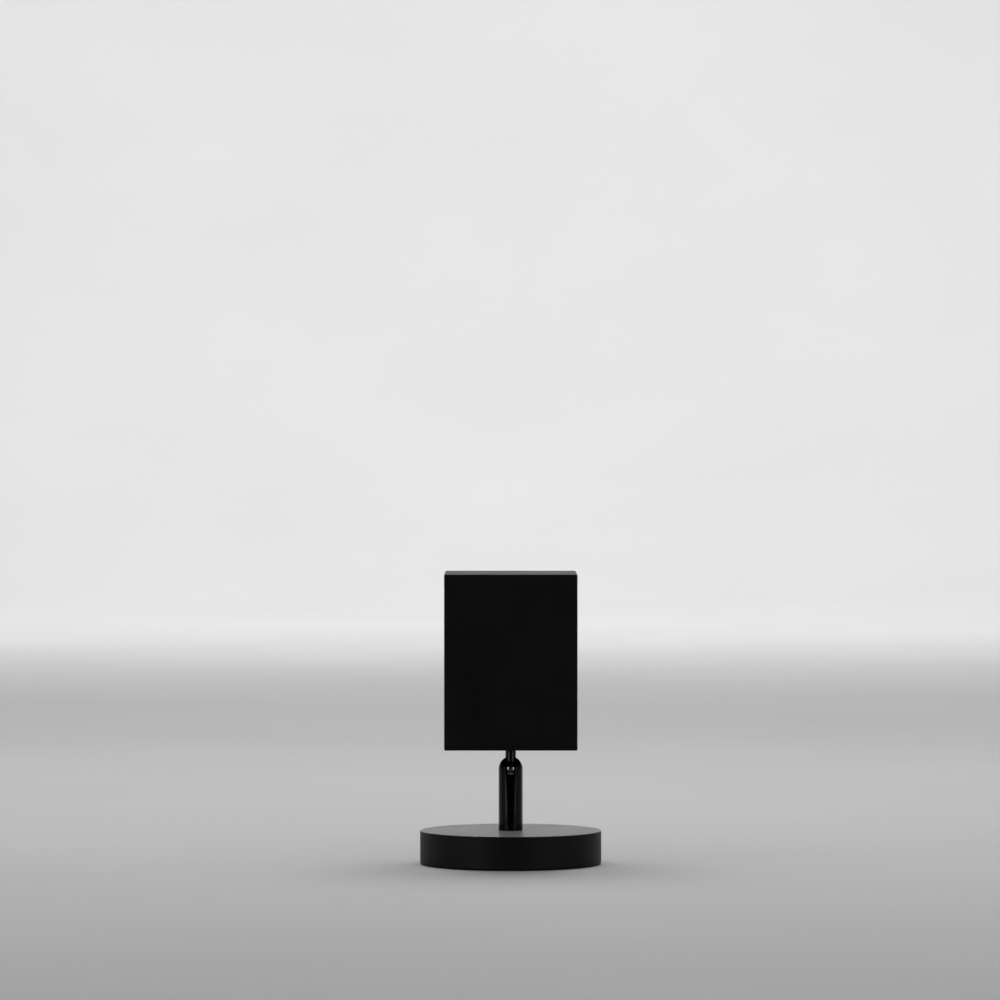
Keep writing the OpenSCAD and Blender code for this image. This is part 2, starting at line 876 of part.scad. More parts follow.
// Cast aluminium box, open in front, with the bosses for its front plate and its driver board
module head_shell() {
    boss_len = front_back_y - back_in_y;
    color(powder_black)
        difference() {
            union() {
                difference() {
                    translate([0, 0, head_z])
                        rounded_block(head_w, head_depth, head_h, head_edge_r);
                    translate([shell_t - half_w, back_in_y, floor_z])
                        cube([head_w - 2 * shell_t, head_depth, head_h - 2 * shell_t]);
                }
                at_corner_bosses()
                    translate([-corner_boss / 2, back_in_y - 0.1, -corner_boss / 2])
                        cube([corner_boss, boss_len + 0.1, corner_boss]);
                at_board_holes()
                    towards_front([0, back_in_y - 0.1, 0])
                        cylinder(d = board_boss_d, h = board_boss_h + 0.1);
                translate([0, -stop_r, floor_z - 0.1])
                    cylinder(d = stop_peg_d, h = stop_peg_h + 0.1);
            }
            translate([0, 0, head_z - cut])
                cylinder(r = stud_d / 2 + swivel_gap, h = shell_t + 2 * cut);
            at_corner_bosses()
                towards_front([0, front_y - front_screw_len - 1, 0])
                    cylinder(d = front_screw_d, h = front_screw_len + 1);
            at_board_holes()
                towards_front([0, back_in_y + 1, 0])
                    cylinder(d = board_screw_d, h = board_boss_h);
        }
}

// Flat plate that closes the front and carries the lens barrel
module front_plate() {
    color(powder_black)
        difference() {
            translate([0, front_y, head_mid_z])
                rotate([90, 0, 0])
                    linear_extrude(front_t)
                        polygon(rounded_outline(front_w, front_h, 0.6));
            on_axis(front_back_y - cut)
                cylinder(r = barrel_r + 0.1, h = front_t + 2 * cut);
            at_corner_bosses()
                towards_front([0, front_y, 0])
                    flat_screw_hole(front_screw_d, front_screw_head_d, front_t + cut);
        }
}

module front_screws() {
    color(satin_black)
        at_corner_bosses()
            towards_front([0, front_y, 0])
                flat_screw(front_screw_d, front_screw_len, front_screw_head_d);
}

// ---- Optics ----

module at_sink_screws() {
    for (k = [0:2])
        rotate(30 + 120 * k)
            translate([sink_screw_ring, 0, 0])
                children();
}

// Tube between the light engine and the lens, with a floor, a flange and the lens's seat
module lens_barrel() {
    barrel_len = nose_y - sink_front_y;
    color(rubber_black)
        difference() {
            union() {
                on_axis(sink_front_y)
                    cylinder(r = barrel_r, h = barrel_len);
                on_axis(front_back_y - flange_t)
                    cylinder(r = flange_r, h = flange_t);
            }
            on_axis(barrel_floor_y)
                cylinder(r = barrel_bore_r, h = lens_seat_y - 2 - barrel_floor_y);
            on_axis(barrel_floor_y)
                cylinder(r = lens_seat_r, h = barrel_len);
            on_axis(lens_seat_y)
                cylinder(r = lens_pocket_r, h = barrel_len);
            on_axis(sink_front_y - cut)
                cylinder(r = center_hole_r, h = barrel_floor_t + 2 * cut);
            on_axis(sink_front_y - cut)
                at_sink_screws()
                    cylinder(d = sink_screw_d + slide_gap, h = barrel_floor_t + 2 * cut);
            on_axis(sink_front_y - cut)
                translate([-groove_w / 2, 0, 0])
                    cube([groove_w, barrel_r + cut, groove_h + cut]);
        }
}

// Outline of the ring's grip: shallow round flutes all the way round
function flute_outline(r, depth, count) = [
    for (k = [0:count * 4 - 1])
        let (a = 360 * k / (count * 4))
            (r - depth / 2 + depth / 2 * cos(a * count)) * [cos(a), sin(a)]
];

// Ring that screws on the barrel's nose, clamps the front plate and holds the lens in
module lens_ring() {
    grip_len = lip_y - front_y - ring_foot;
    lip_t = ring_front_y - lip_y;
    color(satin_black)
        on_axis(front_y)
            difference() {
                union() {
                    cylinder(r = ring_r, h = ring_foot);
                    translate([0, 0, ring_foot])
                        linear_extrude(grip_len)
                            polygon(flute_outline(ring_r - ring_relief, ring_groove, ring_flutes));
                    translate([0, 0, ring_foot + grip_len])
                        cylinder(r = ring_r, h = lip_t - ring_edge);
                    translate([0, 0, ring_len - ring_edge])
                        cylinder(r1 = ring_r, r2 = ring_r - ring_edge, h = ring_edge);
                }
                translate([0, 0, -cut])
                    cylinder(r = barrel_r + thread_gap, h = lip_y - front_y + cut);
                cylinder(r = ring_hole_r, h = ring_len + cut);
                translate([0, 0, ring_len - lip_t + ring_lip])
                    cylinder(r1 = ring_hole_r, r2 = ring_hole_r + ring_flare,
                        h = lip_t - ring_lip + 0.01);
            }
}

// Round sealing ring between the lens and the ring's lip
module lens_gasket() {
    color(rubber_black)
        on_axis(gasket_y)
            rotate_extrude()
                translate([gasket_r, 0])
                    circle(r = gasket_wire_r, $fn = 32);
}

// Projection lens, curved on both faces
module lens() {
    color([0.7, 0.8, 0.9, 0.5])
        intersection() {
            on_axis(lens_y - lens_face_r)
                cylinder(r = lens_r, h = 2 * lens_face_r);
            on_axis(lens_front_c)
                sphere(r = lens_face_r);
            on_axis(lens_back_c)
                sphere(r = lens_face_r);
        }
}

// Turned holder for the condenser and the colour filter, clamped on the barrel's floor
module filter_holder() {
    lip_h = holder_lip_y - barrel_floor_y;
    seat_h = filter_y - barrel_floor_y;
    end_h = holder_end_y - barrel_floor_y;
    filter_bore_r = filter_r + 0.1;
    color(rubber_black)
        on_axis(barrel_floor_y)
            difference() {
                rotate_extrude()
                    polygon([
                        [condenser_pocket_r, 0], [holder_flange_r, 0],
                        [holder_flange_r, holder_flange_t], [holder_r, holder_flange_t],
                        [holder_r, end_h], [filter_bore_r, end_h],
                        [filter_bore_r, seat_h], [holder_lip_r, seat_h],
                        [holder_lip_r, lip_h], [condenser_pocket_r, lip_h]
                    ]);
                at_sink_screws()
                    translate([0, 0, -cut])
                        cylinder(d = sink_screw_d + slide_gap, h = holder_flange_t + 2 * cut);
            }
}

// Coated glass disc that gives the light its colours
module colour_filter() {
    color([0.95, 0.4, 0.2, 0.7])
        on_axis(filter_y)
            cylinder(r = filter_r, h = filter_t);
}

// Spring ring in front of the filter, open at one side
module filter_ring() {
    color(bright_steel)
        on_axis(filter_y + filter_t)
            difference() {
                ring(filter_r, filter_r - 1.1, filter_ring_t);
                translate([-1.5, 0, -cut])
                    cube([3, filter_r + cut, filter_ring_t + 2 * cut]);
            }
}

// Plano-convex glass lens that gathers the light onto the filter
module condenser() {
    color([0.75, 0.85, 0.92, 0.5])
        intersection() {
            on_axis(condenser_y)
                cylinder(r = condenser_r, h = condenser_face_r);
            on_axis(condenser_c)
                sphere(r = condenser_face_r);
        }
}

// ---- Light engine ----

// Metal-core board with six notches, on the heat sink's face
module led_board() {
    color(nylon_white)
        on_axis(sink_front_y)
            difference() {
                cylinder(r = star_r, h = board_t);
                for (k = [0:5])
                    rotate(60 * k)
                        translate([star_r, 0, -cut])
                            cylinder(r = 1.6, h = board_t + 2 * cut);
            }
}

// Light source: a ceramic base with a clear dome
module led_emitter() {
    color([0.95, 0.85, 0.4])
        on_axis(emitter_y) {
            translate([-emitter_w / 2, -emitter_w / 2, 0])
                cube([emitter_w, emitter_w, emitter_t]);
            translate([0, 0, emitter_t])
                difference() {
                    sphere(r = emitter_dome_r);
                    translate([-emitter_w, -emitter_w, -2 * emitter_w])
                        cube([2 * emitter_w, 2 * emitter_w, 2 * emitter_w]);
                    translate([-emitter_w, -emitter_w, emitter_dome_r * 0.55])
                        cube([2 * emitter_w, 2 * emitter_w, emitter_w]);
                }
        }
}

// Extruded heat sink: straight fins round a core, behind a disc
module heat_sink() {
    color(bright_steel)
        difference() {
            union() {
                on_axis(sink_back_y)
                    cylinder(d = sink_core_d, h = fin_len + 0.1);
                on_axis(disc_back_y)
                    cylinder(r = sink_r, h = sink_disc_t);
                intersection() {
                    on_axis(sink_back_y)
                        for (k = [0:fin_count - 1])
                            rotate(360 * (k + 0.5) / fin_count)
                                translate([sink_core_d / 2 - 1, -fin_t / 2, 0])
                                    cube([sink_r, fin_t, fin_len + 0.1]);
                    on_axis(sink_back_y)
                        cylinder(r = sink_r, h = fin_len + 0.1);
                }
            }
            on_axis(disc_back_y + 0.4)
                at_sink_screws()
                    cylinder(d = sink_screw_d, h = sink_disc_t);
        }
}

// Soft pad that carries the heat from the fins to the shell's back wall
module thermal_pad() {
    color([0.45, 0.5, 0.6])
        on_axis(back_in_y)
            cylinder(r = sink_r - 1, h = pad_thermal_t);
}

module sink_screws() {
    color(bright_steel)
        on_axis(barrel_floor_y + holder_flange_t)
            at_sink_screws()
                pan_screw(sink_screw_d, sink_screw_len, sink_head_d, sink_head_h);
}

// ---- Driver ----

module driver_board() {
    color(board_green)
        difference() {
            translate([-board_w / 2, board_y, board_z])
                cube([board_w, board_t, board_h]);
            at_board_holes()
                towards_front([0, board_y - cut, 0])
                    cylinder(d = board_screw_d + slide_gap, h = board_t + 2 * cut);
        }
}

// A box on the driver board, centred at x and at a height above the board's middle
module board_box(x, rise, size) {
    translate([x - size[0] / 2, board_front_y, board_mid_z + rise - size[2] / 2])
        cube(size);
}

// Parts soldered on the driver board: two connectors, a choke, a capacitor and small chips
module driver_parts() {
    color(nylon_white)
        for (side = [-1, 1])
            difference() {
                board_box(side * plug_box_x, 0, plug_box);
                translate([0, plug_box_wall, 0])
                    board_box(side * plug_box_x, 0, [
                        plug_box[0] - 2 * plug_box_wall,
                        plug_box[1],
                        plug_box[2] - 2 * plug_box_wall
                    ]);
            }
    color(satin_black)
        towards_front([choke_x, board_front_y, board_mid_z]) {
            cylinder(d = choke_core_d, h = choke_h);
            cylinder(d = choke_d, h = choke_rim_t);
            translate([0, 0, choke_h - choke_rim_t])
                cylinder(d = choke_d, h = choke_rim_t);
        }
    color(iron_grey)
        towards_front([capacitor_x, board_front_y, board_mid_z])
            cylinder(d = capacitor_d, h = capacitor_h);
    color(satin_black)
        board_box(0, -chip_drop, chip);
    color(brass_yellow)
        for (x = [-resistor_pitch, 0, resistor_pitch])
            board_box(x, resistor_rise, resistor);
}

module driver_screws() {
    color(bright_steel)
        at_board_holes()
            towards_front([0, board_front_y, 0])
                pan_screw(board_screw_d, board_boss_h, board_head_d, board_head_h);
}

// The leads from the stud's end to the driver board
module supply_leads() {
    plug_y = board_front_y + plug_box[1];
    plug_z = board_mid_z;
    for (side = [-1, 1])
        color(side > 0 ? lead_red : rubber_black)
            lead([
                [side * lead_x * 1.05, 0, stud_top_z + 0.3],
                [side * lead_pitch, 0, stud_top_z + 1.6],
                [side * 0.5 - 1.2, -1.5, stud_top_z + 3.4 + side * 0.6],
                [-7, -6, stud_top_z + 4.2 + side * 0.8],
                [side * 0.4 - plug_box_x + 1, plug_y + 5.75, plug_z + 0.6 + side * 0.7],
                [side * lead_pitch - plug_box_x, plug_y + 1.6, plug_z],
                [side * lead_pitch - plug_box_x, plug_y - 2.6, plug_z]
            ], [0.3, 0, 1]);
}

// The leads from the driver board through the barrel's groove to the light source's board
module led_leads() {
    plug_y = board_front_y + plug_box[1];
    plug_z = board_mid_z;
    groove_y = sink_front_y + groove_h / 2;
    barrel_low_z = lens_z - barrel_r;
    for (side = [-1, 1])
        color(side > 0 ? lead_red : rubber_black)
            lead([
                [side * lead_pitch + plug_box_x, plug_y - 2.6, plug_z],
                [side * lead_pitch + plug_box_x, plug_y + 1.2, plug_z],
                [side * lead_pitch + 11.6, groove_y - 1.4, plug_z + 2.4 + side * 0.4],
                [side * lead_pitch + 4.5, groove_y - 0.4, barrel_low_z - 4.5 + side * 1.1],
                [side * lead_pitch, groove_y, barrel_low_z],
                [side * lead_pitch, groove_y, barrel_low_z + 6],
                [side * lead_pitch, groove_y, lens_z - star_r - 0.5]
            ], [0, 1, -0.2]);
}

base_cover();
ballast_disc();
bottom_plate();
plate_screws();
foot_pad();
power_jack();
jack_contacts();
jack_strap();
strap_screws();
base_leads();
post_nipple();
nipple_washer();
nipple_nut();
post_tube();
seat_plug();
disc_springs();
ball_seat();
ball_stud();
neck_washer();
stop_washer();
swivel_spring();
swivel_nut();
stud_leads();
head_shell();
front_plate();
front_screws();
lens_barrel();
lens_ring();
lens_gasket();
lens();
filter_holder();
colour_filter();
filter_ring();
condenser();
led_board();
led_emitter();
heat_sink();
thermal_pad();
sink_screws();
driver_board();
driver_parts();
driver_screws();
supply_leads();
led_leads();
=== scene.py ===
# Looks of the sunset projection lamp, piece by piece.
# Metres, +Z up. The lens looks along +Y, and the camera stands behind the lamp, at -Y.
import json
import math

import bmesh
import bpy
from mathutils import Vector
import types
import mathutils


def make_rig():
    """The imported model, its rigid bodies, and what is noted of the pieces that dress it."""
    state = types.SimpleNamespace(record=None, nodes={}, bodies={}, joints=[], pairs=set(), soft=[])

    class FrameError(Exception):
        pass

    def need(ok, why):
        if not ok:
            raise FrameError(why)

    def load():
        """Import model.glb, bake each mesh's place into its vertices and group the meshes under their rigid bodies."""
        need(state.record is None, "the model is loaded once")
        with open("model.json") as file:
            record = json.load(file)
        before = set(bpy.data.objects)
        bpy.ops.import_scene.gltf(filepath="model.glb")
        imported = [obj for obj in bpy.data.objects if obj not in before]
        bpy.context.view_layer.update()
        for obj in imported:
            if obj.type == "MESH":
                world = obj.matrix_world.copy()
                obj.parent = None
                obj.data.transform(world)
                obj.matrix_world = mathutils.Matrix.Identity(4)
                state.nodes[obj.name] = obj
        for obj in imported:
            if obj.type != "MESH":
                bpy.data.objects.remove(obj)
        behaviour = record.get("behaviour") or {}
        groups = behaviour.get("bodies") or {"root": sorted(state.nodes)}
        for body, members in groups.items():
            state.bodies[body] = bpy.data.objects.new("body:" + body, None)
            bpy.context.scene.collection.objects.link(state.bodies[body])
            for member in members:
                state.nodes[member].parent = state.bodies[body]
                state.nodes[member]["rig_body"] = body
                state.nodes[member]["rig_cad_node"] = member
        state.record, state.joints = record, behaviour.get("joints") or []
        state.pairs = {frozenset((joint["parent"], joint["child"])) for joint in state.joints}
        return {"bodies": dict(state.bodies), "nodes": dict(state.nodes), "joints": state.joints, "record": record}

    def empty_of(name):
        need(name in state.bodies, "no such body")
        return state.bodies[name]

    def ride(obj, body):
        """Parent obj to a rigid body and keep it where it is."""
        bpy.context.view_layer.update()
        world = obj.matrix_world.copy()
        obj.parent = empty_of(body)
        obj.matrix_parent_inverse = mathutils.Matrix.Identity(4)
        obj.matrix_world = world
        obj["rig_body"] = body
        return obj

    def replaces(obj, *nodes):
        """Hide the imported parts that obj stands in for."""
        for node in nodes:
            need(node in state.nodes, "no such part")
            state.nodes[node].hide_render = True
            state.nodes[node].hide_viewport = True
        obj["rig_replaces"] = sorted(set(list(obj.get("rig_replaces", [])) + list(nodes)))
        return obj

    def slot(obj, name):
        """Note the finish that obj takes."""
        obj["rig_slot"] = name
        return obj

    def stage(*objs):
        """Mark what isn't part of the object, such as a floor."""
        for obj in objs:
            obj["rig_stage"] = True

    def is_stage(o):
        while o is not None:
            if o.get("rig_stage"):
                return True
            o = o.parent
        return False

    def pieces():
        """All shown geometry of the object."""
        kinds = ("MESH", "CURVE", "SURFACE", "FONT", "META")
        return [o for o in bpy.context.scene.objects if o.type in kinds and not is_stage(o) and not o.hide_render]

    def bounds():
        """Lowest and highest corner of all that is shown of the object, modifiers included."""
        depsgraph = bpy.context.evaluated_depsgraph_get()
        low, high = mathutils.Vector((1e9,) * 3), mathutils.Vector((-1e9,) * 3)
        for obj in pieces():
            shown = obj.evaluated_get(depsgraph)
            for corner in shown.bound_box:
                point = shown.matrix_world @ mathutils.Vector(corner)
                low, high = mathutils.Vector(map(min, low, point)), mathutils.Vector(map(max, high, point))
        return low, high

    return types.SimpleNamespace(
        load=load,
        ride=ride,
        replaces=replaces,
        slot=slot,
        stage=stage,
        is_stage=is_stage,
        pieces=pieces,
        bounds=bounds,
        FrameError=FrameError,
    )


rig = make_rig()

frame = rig.load()
nodes = frame["nodes"]
cad_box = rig.bounds()


# ---- Camera ----
# A long lens, almost level, 2.7 m behind the lamp and a little above it. It looks down by less
# than a degree, so the lamp stands low in the picture.
scene = bpy.context.scene
looks_down = 0.896
camera_data = bpy.data.cameras.new("camera")
camera_data.lens = 198
camera_data.sensor_width = 36
camera_data.clip_end = 20
camera = bpy.data.objects.new("camera", camera_data)
camera.location = (-0.0053, -2.729, 0.2234)
camera.rotation_euler = (math.radians(90 - looks_down), 0, 0)
scene.collection.objects.link(camera)
scene.camera = camera
scene.view_settings.view_transform = "Standard"


# ---- Floor and backdrop ----
# A round pale floor that curves up into a low wall on every side, so that it has no edge. It is
# covered with matt paper, and is part of the studio, not of the lamp.
def deselect():
    if bpy.context.mode != "OBJECT":
        bpy.ops.object.mode_set(mode="OBJECT")
    bpy.ops.object.select_all(action="DESELECT")


def choose(piece):
    deselect()
    piece.select_set(True)
    bpy.context.view_layer.objects.active = piece


def name_new(name):
    piece = bpy.context.object
    piece.name = name
    piece.data.name = name
    return piece


def edit(piece, kind="FACE"):
    choose(piece)
    bpy.ops.object.mode_set(mode="EDIT")
    bpy.ops.mesh.select_mode(type=kind)
    bpy.ops.mesh.select_all(action="DESELECT")


def pick_edges(piece, test):
    mesh = bmesh.from_edit_mesh(piece.data)
    for edge in mesh.edges:
        a, b = edge.verts[0].co, edge.verts[1].co
        edge.select_set(bool(test((a + b) / 2, b - a)))
    bmesh.update_edit_mesh(piece.data)


def put(tree, kind, inputs=None, **settings):
    node = tree.nodes.new(kind)
    for key, value in settings.items():
        setattr(node, key, value)
    for key, value in (inputs or {}).items():
        node.inputs[key].default_value = value
    return node


def wire(tree, source, output, target, entry):
    tree.links.new(source.outputs[output], target.inputs[entry])


def dress(piece, material):
    piece.data.materials.clear()
    piece.data.materials.append(material)


paper = bpy.data.materials.new("backdrop_paper")
paper.use_nodes = True
paper_tree = paper.node_tree
paper_shader = paper_tree.nodes["Principled BSDF"]
paper_shader.inputs["Specular IOR Level"].default_value = 0
paper_place = put(paper_tree, "ShaderNodeTexCoord")
paper_noise = put(paper_tree, "ShaderNodeTexNoise", {"Scale": 3.0, "Detail": 3.0})
paper_tone = put(paper_tree, "ShaderNodeValToRGB")
paper_tone.color_ramp.elements[0].color = (0.60, 0.60, 0.605, 1)
paper_tone.color_ramp.elements[1].color = (0.66, 0.66, 0.66, 1)
wire(paper_tree, paper_place, "Object", paper_noise, "Vector")
wire(paper_tree, paper_noise, "Fac", paper_tone, "Fac")
wire(paper_tree, paper_tone, "Color", paper_shader, "Base Color")

floor_radius, cove_radius, cove_steps, wall_height = 3.4, 1.2, 12, 1.6
deselect()
bpy.ops.mesh.primitive_circle_add(vertices=96, radius=floor_radius, fill_type="NGON")
backdrop = name_new("backdrop")
edit(backdrop, "EDGE")
pick_edges(backdrop, lambda middle, along: True)
for step in range(cove_steps):
    low, high = (math.radians(90 * k / cove_steps) for k in (step, step + 1))
    rise = cove_radius * (math.cos(low) - math.cos(high))
    now, then = (floor_radius + cove_radius * math.sin(a) for a in (low, high))
    bpy.ops.mesh.extrude_edges_move(TRANSFORM_OT_translate={"value": (0, 0, rise)})
    bpy.ops.transform.resize(value=(then / now, then / now, 1))
bpy.ops.mesh.extrude_edges_move(TRANSFORM_OT_translate={"value": (0, 0, wall_height)})
bpy.ops.mesh.select_all(action="SELECT")
bpy.ops.mesh.normals_make_consistent(inside=True)
bpy.ops.object.mode_set(mode="OBJECT")
bpy.ops.object.shade_smooth()
dress(backdrop, paper)
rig.stage(backdrop)


# ---- Studio lights ----
# Soft boxes: one above and behind the lamp, one for the wall, one for the floor, and two tall
# ones that light the lamp alone and show in the ball and down the post. The dark card between
# those is seen by reflections alone, and keeps the glossy black faces deep.
def backdrop_list(name, state):
    listed = bpy.data.collections.new(name)
    listed.objects.link(backdrop)
    listed.collection_objects[0].light_linking.link_state = state
    return listed


def soft_light(name, place, aim, size, power, lights_only=None):
    data = bpy.data.lights.new(name, "AREA")
    data.shape = "RECTANGLE"
    data.size, data.size_y = size
    data.energy = power
    light = bpy.data.objects.new(name, data)
    light.location = place
    light.rotation_euler = (Vector(aim) - Vector(place)).to_track_quat("-Z", "Y").to_euler()
    light.visible_camera = False
    light.light_linking.receiver_collection = lights_only
    scene.collection.objects.link(light)


backdrop_alone = backdrop_list("backdrop_alone", "INCLUDE")
lamp_alone = backdrop_list("lamp_alone", "EXCLUDE")
soft_light("top_box", (0, 0.7, 1.5), (0, 0.15, 0.05), (1.6, 0.9), 13.5)
soft_light("wall_light", (0, 2.6, 1.9), (0, 4.5, 0.35), (3.2, 0.5), 60)
soft_light("ceiling", (0, -0.4, 2.7), (0, -0.4, 0), (6, 6), 44, backdrop_alone)
for name, side, power in (("left_box", -1, 3.2), ("right_box", 1, 2.3)):
    soft_light(name, (side * 0.89, -0.95, 0.42), (0, 0, 0.1), (0.66, 0.84), power, lamp_alone)

card_width, card_height, card_lift = 3.2, 2, 0.002
card_away, card_reach, card_taper = 3.1, 3.04, 0.02
black_velvet = bpy.data.materials.new("black_velvet")
black_velvet.use_nodes = True
velvet_shader = black_velvet.node_tree.nodes["Principled BSDF"]
velvet_shader.inputs["Base Color"].default_value = (0.1, 0.1, 0.1, 1)
velvet_shader.inputs["Specular IOR Level"].default_value = 0
deselect()
bpy.ops.mesh.primitive_plane_add(
    size=1, location=(0, -card_away, card_lift + card_height / 2),
    rotation=(math.pi / 2, 0, 0))
dark_card = name_new("dark_card")
dark_card.scale = (card_width, card_height, 1)
bpy.ops.object.transform_apply(location=True, rotation=True, scale=True)
edit(dark_card, "EDGE")
pick_edges(dark_card, lambda middle, along: middle.z < 2 * card_lift)
bpy.ops.mesh.extrude_edges_move(TRANSFORM_OT_translate={"value": (0, card_reach, 0)})
bpy.ops.transform.resize(value=(card_taper, 1, 1))
bpy.ops.object.mode_set(mode="OBJECT")
dress(dark_card, black_velvet)
for seen_by in ("camera", "diffuse", "transmission", "shadow"):
    setattr(dark_card, "visible_" + seen_by, False)
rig.stage(dark_card)

world = bpy.data.worlds.new("studio")
world.use_nodes = True
studio_air = world.node_tree.nodes["Background"]
studio_air.inputs["Color"].default_value = (0.9, 0.93, 1.0, 1)
studio_air.inputs["Strength"].default_value = 0.10
scene.world = world


# ---- Base cover ----
# A cover pressed from 1.2 mm sheet steel, flat on top with an upright skirt. The sheet is turned over a tight radius,
# so its top edge looks sharp. The black enamel comes as a lit and a shaded copy of one finish: the flat top is
# glossier and has a sheen so that it shows bright, and the skirt is duller so that it stays dark.
def lathe(name, outline, steps=128, along="Z", middle=(0, 0, 0)):
    deselect()
    bpy.ops.mesh.primitive_plane_add(size=0.001)
    piece = name_new(name)
    edit(piece, "VERT")
    bpy.ops.mesh.select_all(action="SELECT")
    bpy.ops.mesh.merge(type="CENTER")
    origin = Vector(middle)
    points = []
    for radius, height in outline:
        step = Vector((radius, 0, height)) if along == "Z" else Vector((radius, height, 0))
        points.append(origin + step / 1000)
    bpy.ops.transform.translate(value=points[0])
    for before, after in zip(points, points[1:]):
        bpy.ops.mesh.extrude_vertices_move(TRANSFORM_OT_translate={"value": after - before})
    bpy.ops.mesh.select_all(action="SELECT")
    turn_axis = (0, 0, 1) if along == "Z" else (0, 1, 0)
    bpy.ops.mesh.spin(steps=steps, angle=2 * math.pi, center=origin, axis=turn_axis)
    bpy.ops.mesh.select_all(action="SELECT")
    bpy.ops.mesh.remove_doubles(threshold=1e-6)
    bpy.ops.mesh.normals_make_consistent(inside=False)
    bpy.ops.object.mode_set(mode="OBJECT")
    return piece


def arc(center, radius, start, end, steps):
    turn = [math.radians(start + (end - start) * k / steps) for k in range(steps + 1)]
    return [(center[0] + radius * math.cos(a), center[1] + radius * math.sin(a)) for a in turn]


def apply_modifier(piece, kind, **settings):
    choose(piece)
    modifier = piece.modifiers.new(kind.lower(), kind)
    for key, value in settings.items():
        setattr(modifier, key, value)
    bpy.ops.object.modifier_apply(modifier=modifier.name)


def cut_away(piece, cutter):
    apply_modifier(piece, "BOOLEAN", operation="DIFFERENCE", solver="EXACT", object=cutter)
    bpy.data.objects.remove(cutter)


def smooth(piece, angle=35, keep_flats=False):
    choose(piece)
    bpy.ops.object.shade_smooth_by_angle(angle=math.radians(angle))
    if keep_flats:
        apply_modifier(piece, "WEIGHTED_NORMAL", keep_sharp=True)


def rod(radius, length, middle, along="Z", sides=64):
    deselect()
    turn = {"Z": (0, 0, 0), "Y": (math.pi / 2, 0, 0)}[along]
    bpy.ops.mesh.primitive_cylinder_add(
        vertices=sides, radius=radius / 1000, depth=length / 1000,
        location=Vector(middle) / 1000, rotation=turn)
    bpy.ops.object.transform_apply(location=True, rotation=True, scale=True)
    return bpy.context.object


def new_group(name, entries, exits):
    group = bpy.data.node_groups.new(name, "ShaderNodeTree")
    for kind, label, value in entries:
        socket = group.interface.new_socket(label, in_out="INPUT", socket_type=kind)
        if value is not None:
            socket.default_value = value
    for kind, label in exits:
        group.interface.new_socket(label, in_out="OUTPUT", socket_type=kind)
    return group, group.nodes.new("NodeGroupInput"), group.nodes.new("NodeGroupOutput")


# Grain of a coating, casting or moulding: a fine pattern and a slow drift of tone under it
grain, grain_in, grain_out = new_group(
    "grain",
    [("NodeSocketVector", "Place", None), ("NodeSocketFloat", "Fineness", 3000.0)],
    [("NodeSocketFloat", "Height"), ("NodeSocketFloat", "Drift")])
grain_fine = put(grain, "ShaderNodeTexNoise", {"Detail": 3.0, "Roughness": 0.6})
grain_slow = put(grain, "ShaderNodeTexNoise", {"Scale": 45.0, "Detail": 4.0})
wire(grain, grain_in, "Place", grain_fine, "Vector")
wire(grain, grain_in, "Fineness", grain_fine, "Scale")
wire(grain, grain_in, "Place", grain_slow, "Vector")
wire(grain, grain_fine, "Fac", grain_out, "Height")
wire(grain, grain_slow, "Fac", grain_out, "Drift")

# Edges rubbed bright by handling: where the rounded normal leaves the true one
wear, wear_in, wear_out = new_group(
    "edge_wear",
    [("NodeSocketVector", "Place", None), ("NodeSocketFloat", "Amount", 1.0)],
    [("NodeSocketFloat", "Mask")])
wear_round = put(wear, "ShaderNodeBevel", {"Radius": 0.0006}, samples=4)
wear_true = put(wear, "ShaderNodeNewGeometry")
wear_match = put(wear, "ShaderNodeVectorMath", operation="DOT_PRODUCT")
wear_off = put(wear, "ShaderNodeMapRange", {"From Min": 0.99, "From Max": 0.86})
wear_patch = put(wear, "ShaderNodeTexNoise", {"Scale": 260.0, "Detail": 4.0})
wear_patch_range = put(wear, "ShaderNodeMapRange", {"From Min": 0.42, "From Max": 0.62})
wear_both = put(wear, "ShaderNodeMath", operation="MULTIPLY")
wear_scale = put(wear, "ShaderNodeMath", operation="MULTIPLY", use_clamp=True)
wire(wear, wear_round, "Normal", wear_match, 0)
wire(wear, wear_true, "Normal", wear_match, 1)
wire(wear, wear_match, "Value", wear_off, "Value")
wire(wear, wear_in, "Place", wear_patch, "Vector")
wire(wear, wear_patch, "Fac", wear_patch_range, "Value")
wire(wear, wear_off, "Result", wear_both, 0)
wire(wear, wear_patch_range, "Result", wear_both, 1)
wire(wear, wear_both, "Value", wear_scale, 0)
wire(wear, wear_in, "Amount", wear_scale, 1)
wire(wear, wear_scale, "Value", wear_out, "Mask")

# Dust that lies on faces that look up, thin and patchy
dust, dust_in, dust_out = new_group(
    "settled_dust",
    [("NodeSocketVector", "Place", None), ("NodeSocketFloat", "Amount", 0.1)],
    [("NodeSocketFloat", "Mask")])
dust_facing = put(dust, "ShaderNodeTexCoord")
dust_split = put(dust, "ShaderNodeSeparateXYZ")
dust_up = put(dust, "ShaderNodeMapRange", {"From Min": 0.6, "From Max": 1.0})
dust_patch = put(dust, "ShaderNodeTexNoise", {"Scale": 90.0, "Detail": 8.0, "Roughness": 0.65})
dust_range = put(dust, "ShaderNodeMapRange", {"From Min": 0.4, "From Max": 0.75})
dust_both = put(dust, "ShaderNodeMath", operation="MULTIPLY")
dust_scale = put(dust, "ShaderNodeMath", operation="MULTIPLY", use_clamp=True)
wire(dust, dust_facing, "Normal", dust_split, "Vector")
wire(dust, dust_split, "Z", dust_up, "Value")
wire(dust, dust_in, "Place", dust_patch, "Vector")
wire(dust, dust_patch, "Fac", dust_range, "Value")
wire(dust, dust_up, "Result", dust_both, 0)
wire(dust, dust_range, "Result", dust_both, 1)
wire(dust, dust_both, "Value", dust_scale, 0)
